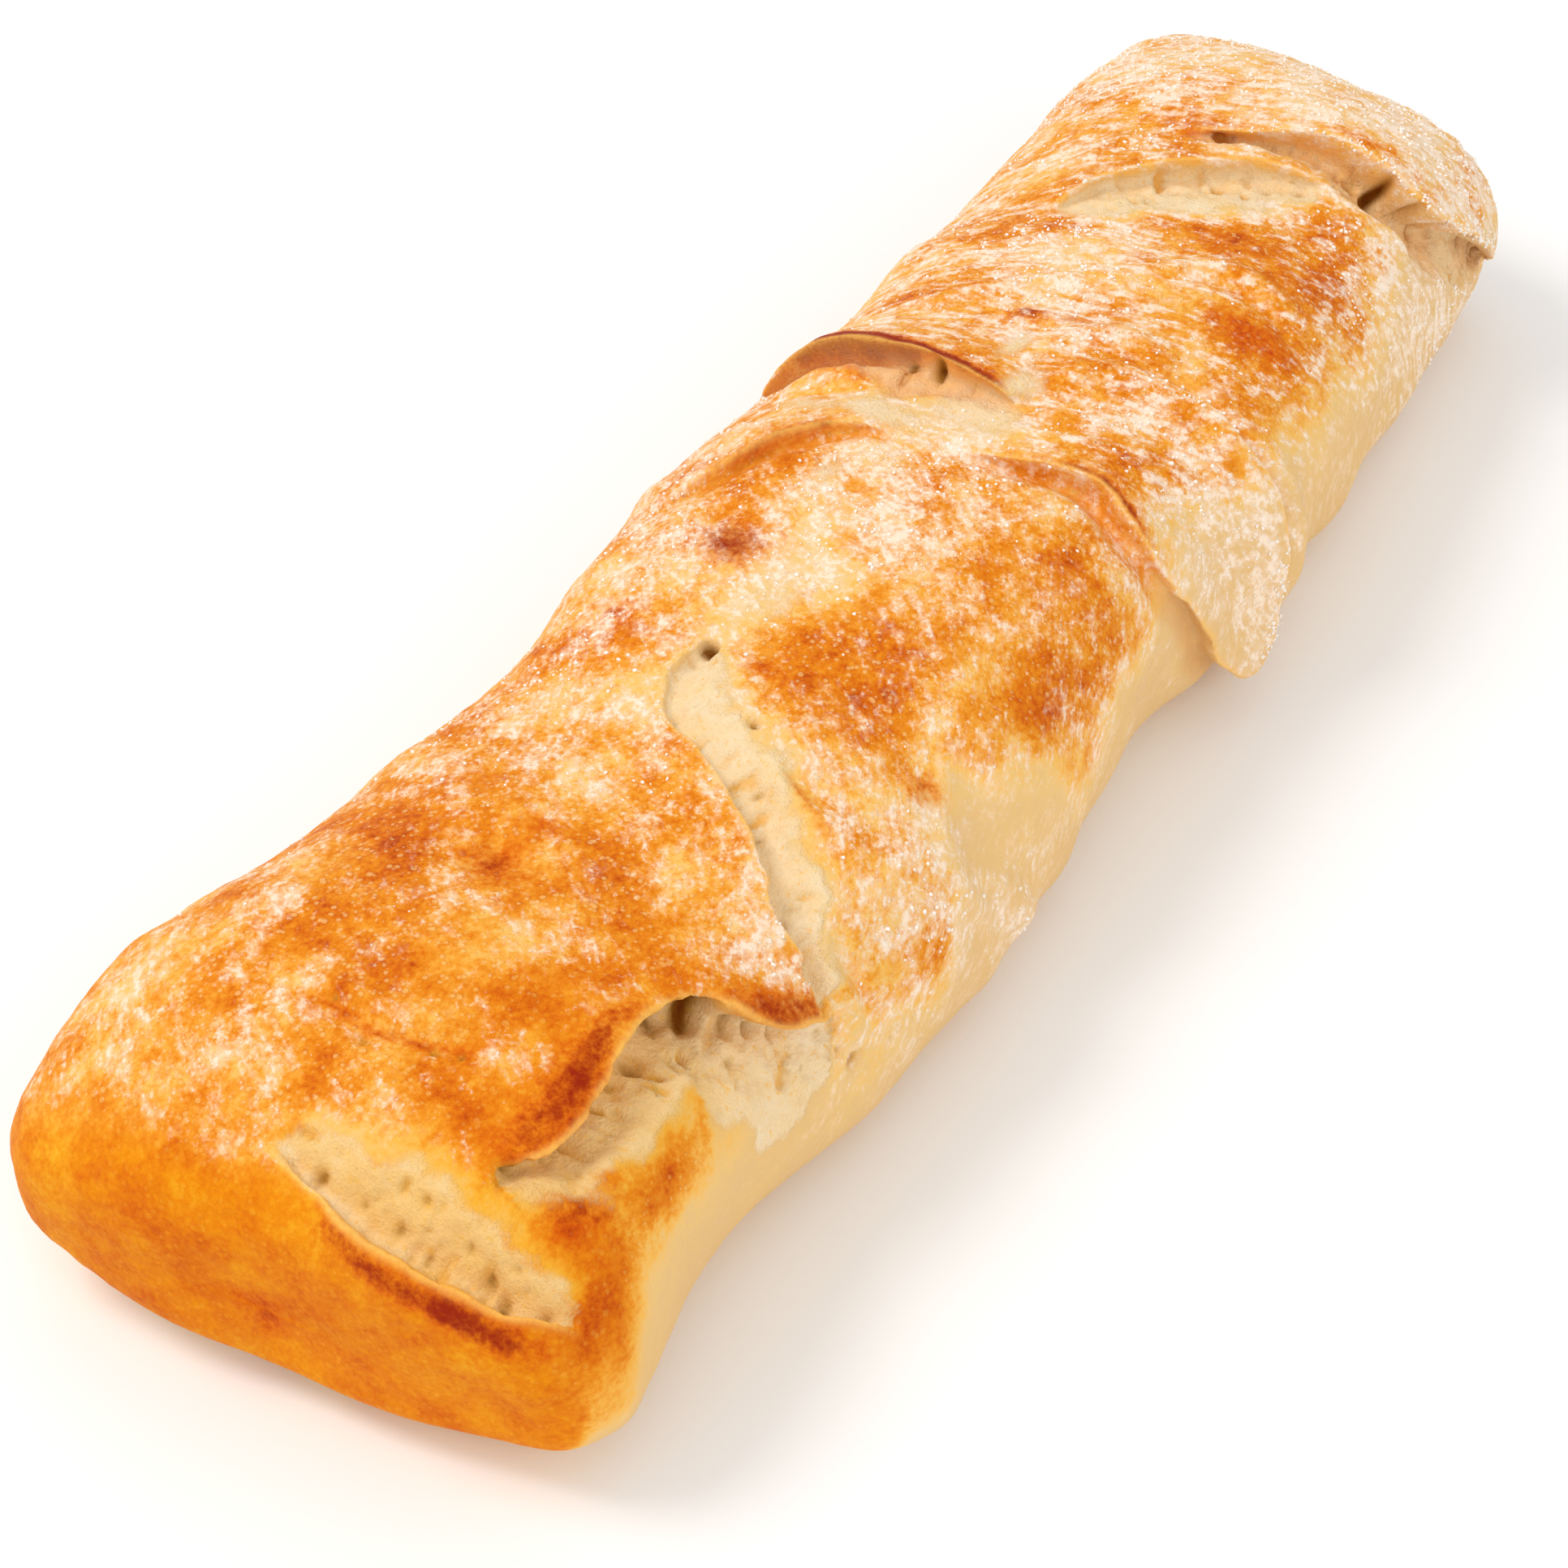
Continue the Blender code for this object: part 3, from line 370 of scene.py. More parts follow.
def power(value, exponent):
    return np.sign(value) * np.abs(value) ** exponent


def smoothstep(value):
    value = np.clip(value, 0.0, 1.0)
    return value * value * (3.0 - 2.0 * value)


def crust(s, angle):
    """Points of the plain loaf in mm: s runs -1 to 1 from end to end, angle is in radians from the crown."""
    s, angle = np.broadcast_arrays(s, angle)
    x = HALF_LENGTH * s
    table = np.array(STATIONS, float)
    centre, left, right, crown, level = np.moveaxis(spline(table[:, 0], table[:, 1:], x), -1, 0)
    plan = np.clip(1 - np.abs(s) ** END_PLAN_ROUND, 0, 1) ** (1 / END_PLAN_ROUND)
    rise = np.clip(1 - np.abs(s) ** END_HEIGHT_ROUND, 0, 1) ** (1 / END_HEIGHT_ROUND)
    above = np.cos(angle) >= 0
    rounding = np.where(above, 2 / TOP_ROUND, 2 / UNDER_ROUND)
    y = np.where(angle >= 0, left, right) * plan * power(np.sin(angle), rounding)
    height = np.where(above, (crown - level) * rise, level * rise**0.6)
    z = level + height * power(np.cos(angle), rounding)
    lean = END_SKEW[0] * np.clip((-s - 0.4) / 0.6, 0, 1) ** 2
    lean = lean + END_SKEW[1] * np.clip((s - 0.4) / 0.6, 0, 1) ** 2
    return np.stack([x + lean * y / HALF_WIDTH, centre + y, z], -1)


def crust_at(x, degrees):
    return crust(np.asarray(x, float) / HALF_LENGTH, np.radians(degrees))


def even_steps(points, density, count):
    """Where along the points, as fractions, count + 1 stops are evenly spaced by length times density."""
    length = np.linalg.norm(np.diff(points, axis=0), axis=-1)
    run = np.concatenate([[0.0], np.cumsum(length * density)])
    return np.interp(np.linspace(0, run[-1], count + 1), run, np.linspace(0, 1, len(points)))


def grid_lines():
    """The s of every ring, from end to end, and the angle of every column, from the crown round."""
    turn = np.linspace(-np.pi / 2, np.pi / 2, 6001)
    ease = np.sin(turn)
    along = 0.35 * ease + 0.65 * power(ease, 2 / END_PLAN_ROUND) * np.abs(ease) ** 0.5
    sides = np.concatenate([crust(along[:, None], np.radians([[-90, 0, 90]]))], -1).reshape(len(along), -1)
    ring_s = np.interp(even_steps(sides, 1.0, RINGS), np.linspace(0, 1, len(along)), along)
    angles = np.linspace(-np.pi, np.pi, 2881)
    places, shares = np.array(DENSITY, float).T
    density = np.interp(np.degrees(angles[:-1]), places, shares)
    column_angle = np.interp(
        even_steps(crust(0.0, angles), density, COLUMNS), np.linspace(0, 1, len(angles)), angles
    )
    return ring_s, column_angle


def fractal(points, wavelength, shift=0.0):
    """Smooth noise of about -1 to 1 with the given wavelength."""
    return np.array([noise.noise(p) for p in (points / wavelength + shift).tolist()])


def cells(points, size, wanted):
    """Hollows between walls: 0 on a wall, up to 1 within. Cells differ in depth, and some are flush."""
    found = np.zeros(len(points))
    for i in np.flatnonzero(wanted):
        distances, centres = noise.voronoi((points[i] / size).tolist())
        apart = distances[1] - distances[0]
        openness = min(max(0.45 + 1.5 * noise.noise(centres[0] * 7.3), 0.0), 1.0)
        found[i] = min(apart / 0.6, 1.0) * openness
    return smoothstep(found)


class Trace:
    """A line drawn on the crust through rows of (x, angle, sizes...), with the distance of points from it."""

    def __init__(self, rows, step=0.8):
        rows = np.array(rows, float)
        corners = crust_at(rows[:, 0], rows[:, 1])
        run = np.concatenate([[0.0], np.cumsum(np.linalg.norm(np.diff(corners, axis=0), axis=1))])
        self.run = np.linspace(0, run[-1], max(8, int(run[-1] / step)))
        place = spline(run, rows[:, :2], self.run)
        self.points = crust_at(place[:, 0], place[:, 1])
        around = crust_at(place[:, 0], place[:, 1] + 0.5) - crust_at(place[:, 0], place[:, 1] - 0.5)
        along = crust_at(place[:, 0] + 0.3, place[:, 1]) - crust_at(place[:, 0] - 0.3, place[:, 1])
        self.normals = np.cross(along, around)
        self.normals /= np.linalg.norm(self.normals, axis=1, keepdims=True)
        ahead = np.gradient(self.points, axis=0)
        self.left = np.cross(self.normals, ahead)
        self.left /= np.linalg.norm(self.left, axis=1, keepdims=True)
        self.sizes = np.array([np.interp(self.run, run, rows[:, k]) for k in range(2, rows.shape[1])]).T
        kernel = np.hanning(7)[1:-1] / np.hanning(7)[1:-1].sum()
        for column in self.sizes.T:
            column[2:-2] = np.convolve(column, kernel, "valid")

    def nearest(self, points, reach):
        """The points within reach, their signed distance (left is positive) and nearest samples."""
        low, high = self.points.min(axis=0) - reach, self.points.max(axis=0) + reach
        near = np.flatnonzero(((points > low) & (points < high)).all(axis=1))
        apart = np.linalg.norm(points[near, None] - self.points[None], axis=2)
        sample = apart.argmin(axis=1)
        distance = apart.min(axis=1)
        keep = distance < reach
        near, sample, distance = near[keep], sample[keep], distance[keep]
        aside = ((points[near] - self.points[sample]) * self.left[sample]).sum(axis=1)
        return near, np.where(aside < 0, -distance, distance), sample


def crowd(points):
    """Draws the points near every seam towards it, so that its edge and wall are finely cut."""
    shift = np.zeros_like(points)
    for seam in SEAMS.values():
        trace = Trace(seam["rows"])
        near, distance, sample = trace.nearest(points, reach=9.0)
        inner = np.minimum(sample, len(trace.points) - 1 - sample) / 6.0
        pull = -CROWDING * smoothstep(inner) * distance * np.exp(-((distance / CROWD_REACH) ** 2))
        shift[near] += pull[:, None] * trace.left[sample]
    return points + shift


def raise_to(looks, name, near, values):
    looks[name][near] = np.maximum(looks[name][near], values)


def add_seam(points, normals, shift, seam, looks):
    """A tear or a fold: a raised lip leaning over an opening, which climbs back to the crust."""
    trace = Trace(seam["rows"])
    near, distance, sample = trace.nearest(points, reach=30.0)
    here = points[near]
    distance = distance + 0.5 * fractal(here, 4.0) + 0.6 * fractal(here, 9.0, 5.0)
    lip, depth, width = trace.sizes[sample].T
    width = width * (1 + 0.3 * fractal(here, 8.0, 7.0))
    strength = smoothstep(lip / 1.5)
    back = np.exp(-((np.minimum(distance, 0) / seam["reach"]) ** 2))
    drop = smoothstep(distance / seam["wall"])
    rest = (distance - seam["wall"]) / np.maximum(width - seam["wall"], 1.0)
    floor = 1 - smoothstep(rest)
    height = lip * back * (1 - drop) - depth * drop * floor
    inside = smoothstep(depth) * drop * smoothstep(2.5 * (1 - rest))
    height += seam["pits"] * inside * (fractal(here, 2.6, 9.0) - 0.3)
    # Torn crumb: thin walls of dough, drawn out across the opening, stand between hollow cells.
    run = trace.run[sample] + 1.2 * fractal(here, 5.0, 8.0)
    weave = np.stack([run, 0.5 * distance, np.full_like(run, seam["reach"])], -1)
    hollow = cells(weave, 3.0, inside * seam["cells"] > 0.02)
    small = cells(weave * 1.1, 1.3, inside * seam["cells"] > 0.02)
    tuck = np.exp(-np.maximum(distance - seam["wall"], 0) / 2.5)
    aside = strength * (seam["over"] * back * (1 - drop) - 0.75 * seam["wall"] * drop * tuck)
    shift[near] += height[:, None] * normals[near] + aside[:, None] * trace.left[sample]

    ragged = distance + 0.9 * fractal(here, 2.2, 2.0) + 2.2 * fractal(here, 6.0, 3.0)
    opened = smoothstep(depth / 1.2) * smoothstep(1.2 * distance / seam["wall"] - 0.1)
    opened *= 1 - smoothstep((ragged - width + 4.0) / 8.0)
    raise_to(looks, "crumb", near, seam["crumb"] * opened)
    # How deep the cell hollows are: they are sunk into the crust, and the colour darkens them with painted
    # shade.
    raise_to(looks, "pore", near, seam["cells"] * inside * (0.9 * hollow + 0.3 * small))
    halo = smoothstep(depth / 1.2) * smoothstep(distance / 2 + 0.5)
    raise_to(looks, "halo", near, seam["crumb"] * (halo * (1 - smoothstep((ragged - width + 1) / 9))))
    glow = seam["glow"] * smoothstep(depth) * drop
    raise_to(looks, "glow", near, glow * (1 - smoothstep((distance - 0.6 * width) / (0.4 * width))))
    # edge: a thin line along the lip's rim, for a painted highlight in the colour.
    raise_to(looks, "edge", near, strength * np.exp(-(((distance + 0.1) / 0.7) ** 2)))


def add_ridge(points, normals, shift, rows):
    trace = Trace(rows)
    near, distance, sample = trace.nearest(points, reach=14.0)
    height, half_width = trace.sizes[sample].T
    shift[near] += (height * np.exp(-((distance / half_width) ** 2)))[:, None] * normals[near]


def spot(points, x, angle, along, around):
    """1 at the spot's middle, falling away with distance along X and round the section."""
    away = points - crust_at(x, angle)
    across = np.linalg.norm(away[:, 1:], axis=1)
    return np.exp(-((away[:, 0] / along) ** 2) - (across / around) ** 2)


def spots(points, rows):
    """Each spot of the rows, as its share at every point times its amount."""
    for x, angle, amount, along, around in rows:
        yield amount * spot(points, x, angle, along, around)


def relief(points, normals, looks):
    """Where each point of the plain loaf goes: the crust's swells, bulges, ridges, tears and folds."""
    shift = np.zeros_like(points)
    free = smoothstep((points[:, 2] - 4.0) / 10.0)[:, None]
    for wavelength, height in SWELLS:
        shift += height * fractal(points, wavelength, wavelength)[:, None] * normals * free
    for x, angle, height, along, around in BULGES:
        shift += (height * spot(points, x, angle, along, around))[:, None] * normals
    for rows in (*RIDGES.values(), *WRINKLES):
        add_ridge(points, normals, shift, rows)
    for seam in SEAMS.values():
        add_seam(points, normals, shift, seam, looks)
    moved = points + shift * smoothstep((points[:, 2] - 1.5) / 4.0)[:, None]
    moved[:, 2] = np.maximum(moved[:, 2] - REST_DEPTH, 0.0)
    return moved + CENTRE_SHIFT


def places_of(ball, ring_s, column_angle):
    """The s and the angle of every vertex of the ball."""
    unit = np.array([vertex.co.normalized() for vertex in ball.verts], float)
    ring = (1 - np.arccos(np.clip(unit[:, 2], -1, 1)) / np.pi) * RINGS
    column = (0.5 - np.arctan2(unit[:, 1], unit[:, 0]) / (2 * np.pi)) * COLUMNS
    s = np.interp(ring, np.arange(RINGS + 1), ring_s)
    return s, np.interp(column, np.arange(COLUMNS + 1), column_angle)


def refine(ball, points):
    """Splits the faces near the tears in four."""
    close = np.zeros(len(points), bool)
    for name in ("near_tear", "hook_tear", "flap_tear", "far_tear", "band_tear", "split_left", "strap_fold"):
        near, distance, _ = Trace(SEAMS[name]["rows"]).nearest(points, reach=16.0)
        close[near[(distance > -REFINE_REACH / 2) & (distance < 2 * REFINE_REACH)]] = True
    edges = [e for e in ball.edges if close[e.verts[0].index] and close[e.verts[1].index]]
    bmesh.ops.subdivide_edges(ball, edges=edges, cuts=1, use_grid_fill=True)
    ball.verts.index_update()
    rank = np.lexsort(np.round([vertex.co for vertex in ball.verts], 5).T).argsort()
    ball.verts.sort(key=lambda vertex: int(rank[vertex.index]))
    ball.verts.index_update()


def in_fixed_order(faces):
    """The faces as vertex numbers, sorted, each from its lowest one on: bmesh keeps no fixed order."""
    corners = [[vertex.index for vertex in face.verts] for face in faces]
    starts = [face.index(min(face)) for face in corners]
    return sorted(face[start:] + face[:start] for face, start in zip(corners, starts))


def settle(points, ends, times):
    """Evens the points out by moving each half way to the middle of its neighbours."""
    count = np.bincount(ends.reshape(-1), minlength=len(points))[:, None]
    for _ in range(times):
        total = np.zeros_like(points)
        np.add.at(total, ends[:, 0], points[ends[:, 1]])
        np.add.at(total, ends[:, 1], points[ends[:, 0]])
        points = 0.5 * points + 0.5 * total / count
    return points


def strokes(points, lines):
    """How strongly each point is touched by the lines, each with its amounts and half widths."""
    found = np.zeros(len(points))
    for rows in lines:
        trace = Trace(rows)
        near, distance, sample = trace.nearest(points, reach=14.0)
        amount, half_width = trace.sizes[sample].T
        found[near] = np.maximum(found[near], amount * np.exp(-((distance / half_width) ** 2)))
    return found


def paint(points, s, angle, normals, looks):
    """The crust's fields: how baked, toasted and floury each place is, and the painted shade along the
    near_wrinkle crease.
    """
    x, degrees = HALF_LENGTH * s, np.degrees(angle)
    wander = 7 * fractal(points, 16.0, 11.0) + 4 * fractal(points, 6.0, 12.0)
    pale_x, pale_angle = np.array(PALE_EDGE, float).T
    right = smoothstep((degrees - np.interp(x, pale_x, pale_angle) + wander) / 42 + 0.38)
    left = 1 - 0.55 * smoothstep((degrees - 84 + 2 * wander) / 24)
    bake = 0.55 * right * np.where(degrees > 0, left, 1.0)
    bake = sum(spots(points, BAKE_SPOTS), bake)
    under = smoothstep((-normals[:, 2] - 0.75) / 0.2)
    end = smoothstep((-normals[:, 0] - 0.35) / 0.45) * smoothstep((-s - 0.8) / 0.1)
    amber = np.maximum(end, 0.85 * smoothstep((-x - 98) / 42) * right * smoothstep((10 - degrees) / 40))
    looks["amber"] = np.clip(amber, 0, 1)
    bake *= 1 - 0.75 * looks["halo"]
    looks["bake"] = np.where(end > 0, bake + (0.56 - bake) * end, bake) * (1 - under) + 0.45 * under
    # The lines are toasted lips and crests, and painted shade along the near_wrinkle crease.
    toast_and_crease_shade = strokes(points, TOAST_AND_CREASE_SHADE_STROKES)
    for field in spots(points, TOAST_SPOTS):
        toast_and_crease_shade = np.maximum(toast_and_crease_shade, field)
    looks["toast_and_crease_shade"] = toast_and_crease_shade
    flour_x, flour_amount = np.array(FLOUR_BY_X, float).T
    flour = np.interp(x, flour_x, flour_amount) * (0.25 + 0.75 * right) * (1 - 0.9 * end)
    flour += 0.18 * smoothstep((degrees - 15) / 40) * smoothstep((x + 165) / 30)
    flour = sum(spots(points, FLOUR_SPOTS), flour)
    flour += 0.6 * strokes(points, FLOUR_STROKES)
    looks["flour"] = flour - 0.70 * smoothstep(toast_and_crease_shade) - 1.2 * looks["glow"] - 0.35 * looks["halo"]
    for field in spots(points, CRUMB_SPOTS):
        looks["crumb"] = np.maximum(looks["crumb"], field)
    looks["pale"] = 1 - right


def pierce(points, plain, normals, looks):
    """The pits in the torn crumb, sunk into the mesh, and the painted shade in them."""
    for x, angle, radius, depth, painted_shade in HOLES:
        away = np.linalg.norm(plain - crust_at(x, angle), axis=1)
        near = np.flatnonzero(away < 2.5 * radius)
        squash = away[near] * (1 + 0.25 * fractal(plain[near], radius, 6.0)) / radius
        pit = 1 - smoothstep(squash / 1.3)
        points[near] -= (depth * pit)[:, None] * normals[near]
        # How dark the painted shade in each pit is.
        raise_to(looks, "pit_shade", near, pit * (0.45 + 0.55 * painted_shade))


def mesh_normals(ball, points):
    for vertex, place in zip(ball.verts, points.tolist()):
        vertex.co = place
    ball.normal_update()
    return np.array([vertex.normal for vertex in ball.verts], float)


def flow_lines(x, degrees):
    """Coordinates in mm across and along the way the dough was stretched, for streaks of flour.

    The first lie along the twist of the near part, the second along the strap and the far part.
    """
    down = -np.radians(degrees) * HALF_WIDTH
    twist = np.stack([x + 0.8 * down, down / 1.8, np.zeros_like(x)], -1)
    strap = np.stack([x - 0.33 * down, down / 2.6, np.zeros_like(x)], -1)
    return {"twist_flow": twist, "strap_flow": strap}, smoothstep((x - 10 - 0.3 * down) / 10 + 0.5)


def make_loaf():
    """The whole loaf as one closed mesh, with its fields stored on its vertices."""
    ball = bmesh.new()
    bmesh.ops.create_uvsphere(ball, u_segments=COLUMNS, v_segments=RINGS, radius=1.0)
    ring_s, column_angle = grid_lines()
    refine(ball, crust(*places_of(ball, ring_s, column_angle)))
    s, angle = places_of(ball, ring_s, column_angle)
    plain = crowd(crust(s, angle))
    normals = mesh_normals(ball, plain)
    names = ("crumb", "pore", "halo", "glow", "edge", "pit_shade", "amber", "bake", "toast_and_crease_shade", "flour", "pale")
    looks = {name: np.zeros(len(plain)) for name in names}
    points = relief(plain, normals, looks)
    ends = np.array(sorted(sorted(vertex.index for vertex in edge.verts) for edge in ball.edges))
    points = settle(points, ends, times=2)
    normals = mesh_normals(ball, points)
    paint(plain, s, angle, normals, looks)
    free = smoothstep((points[:, 2] - 1.0) / 4.0)
    rough = free * (0.35 + 0.65 * (1 - looks["pale"])) * (1 - 0.5 * looks["crumb"])
    lift = sum(h * fractal(plain, w, w) for w, h in FINE_SWELLS) * rough
    clumps = smoothstep(1.6 * fractal(plain, 1.8, 21.0) + 0.4) * smoothstep((looks["flour"] - 0.75) / 0.5)
    lift += 0.35 * clumps * free - PORE_DEPTH * looks["pore"]
    points += lift[:, None] * normals
    pierce(points, plain, normals, looks)
    points[:, 2] = np.maximum(points[:, 2], 0.0)
    mesh_normals(ball, points * MM)
    bmesh.ops.triangulate(ball, faces=ball.faces)
    mesh = bpy.data.meshes.new("crust")
    mesh.from_pydata([vertex.co[:] for vertex in ball.verts], [], in_fixed_order(ball.faces))
    ball.free()
    flows, looks["strap"] = flow_lines(HALF_LENGTH * s, np.degrees(angle))
    for name, values in looks.items():
        layer = mesh.attributes.new(name, "FLOAT", "POINT")
        layer.data.foreach_set("value", np.clip(values, 0, 1.5).astype(np.float32))
    for name, places in flows.items():
        layer = mesh.attributes.new(name, "FLOAT_VECTOR", "POINT")
        layer.data.foreach_set("vector", places.astype(np.float32).reshape(-1))
    mesh.shade_smooth()
    return add_object("crust", mesh)


# ---------------- materials


def linear(red, green, blue):
    """A colour given as 8-bit sRGB, in linear light."""
    shares = [v / 255 for v in (red, green, blue)]
    return [v / 12.92 if v <= 0.04045 else ((v + 0.055) / 1.055) ** 2.4 for v in shares] + [1.0]


class Nodes:
    """Short names for the shader nodes used here. Texture sizes are in mm."""

    def __init__(self, name):
        self.material = bpy.data.materials.new(name)
        self.material.use_nodes = True
        self.tree = self.material.node_tree
        self.shader = self.tree.nodes["Principled BSDF"]
        node = self.tree.nodes.new("ShaderNodeVectorMath")
        node.operation = "SCALE"
        self.link(self.tree.nodes.new("ShaderNodeTexCoord").outputs["Object"], node.inputs[0])
        node.inputs["Scale"].default_value = 1 / MM
        self.place = node.outputs[0]

    def link(self, value, socket):
        if isinstance(value, bpy.types.NodeSocket):
            self.tree.links.new(value, socket)
        else:
            socket.default_value = value

    def math(self, operation, a, b=0.0, c=0.0, clamp=False):
        node = self.tree.nodes.new("ShaderNodeMath")
        node.operation = operation
        node.use_clamp = clamp
        for value, socket in zip((a, b, c), node.inputs):
            self.link(value, socket)
        return node.outputs[0]

    def times(self, a, b):
        return self.math("MULTIPLY", a, b)

    def sway(self, noise_value, amount, value):
        """The value, moved up and down by a noise about its middle."""
        return self.math("MULTIPLY_ADD", self.math("SUBTRACT", noise_value, 0.5), amount, value)

    def field(self, name, part="Fac"):
        node = self.tree.nodes.new("ShaderNodeAttribute")
        node.attribute_name = name
        return node.outputs[part]

    def noise(self, size, detail=3.0, rough=0.55, place=None):
        node = self.tree.nodes.new("ShaderNodeTexNoise")
        node.inputs["Scale"].default_value = 1 / size
        node.inputs["Detail"].default_value = detail
        node.inputs["Roughness"].default_value = rough
        self.link(place or self.place, node.inputs["Vector"])
        return node.outputs["Fac"]

    def cells(self, size):
        node = self.tree.nodes.new("ShaderNodeTexVoronoi")
        node.inputs["Scale"].default_value = 1 / size
        self.link(self.place, node.inputs["Vector"])
        return node.outputs["Distance"], node.outputs["Color"]

    def step(self, value, low, high, to_low=0.0, to_high=1.0):
        """The value, eased from low..high to to_low..to_high."""
        node = self.tree.nodes.new("ShaderNodeMapRange")
        node.interpolation_type = "SMOOTHSTEP"
        for value, socket in zip((value, low, high, to_low, to_high), node.inputs):
            self.link(value, socket)
        return node.outputs[0]

    def blend(self, share, a, b):
        """A number, the given share of the way from a to b."""
        node = self.tree.nodes.new("ShaderNodeMix")
        for value, socket in zip((share, a, b), (node.inputs[0], node.inputs[2], node.inputs[3])):
            self.link(value, socket)
        return node.outputs[0]

    def ramp(self, value, stops):
        node = self.tree.nodes.new("ShaderNodeValToRGB")
        while len(node.color_ramp.elements) < len(stops):
            node.color_ramp.elements.new(0.5)
        for element, (position, colour) in zip(node.color_ramp.elements, stops):
            element.position = position
            element.color = linear(*colour)
        self.link(value, node.inputs[0])
        return node.outputs[0]

    def mix(self, share, a, b):
        node = self.tree.nodes.new("ShaderNodeMix")
        node.data_type = "RGBA"
        self.link(share, node.inputs[0])
        self.link(a, node.inputs[6])
        self.link(b, node.inputs[7])
        return node.outputs[2]

    def bump(self, height, distance_mm):
        node = self.tree.nodes.new("ShaderNodeBump")
        node.inputs["Distance"].default_value = distance_mm * MM
        self.link(height, node.inputs["Height"])
        self.link(node.outputs[0], self.shader.inputs["Normal"])

    def surface(self, colour, rough, specular):
        self.link(colour, self.shader.inputs["Base Color"])
        self.link(rough, self.shader.inputs["Roughness"])
        self.link(specular, self.shader.inputs["Specular IOR Level"])


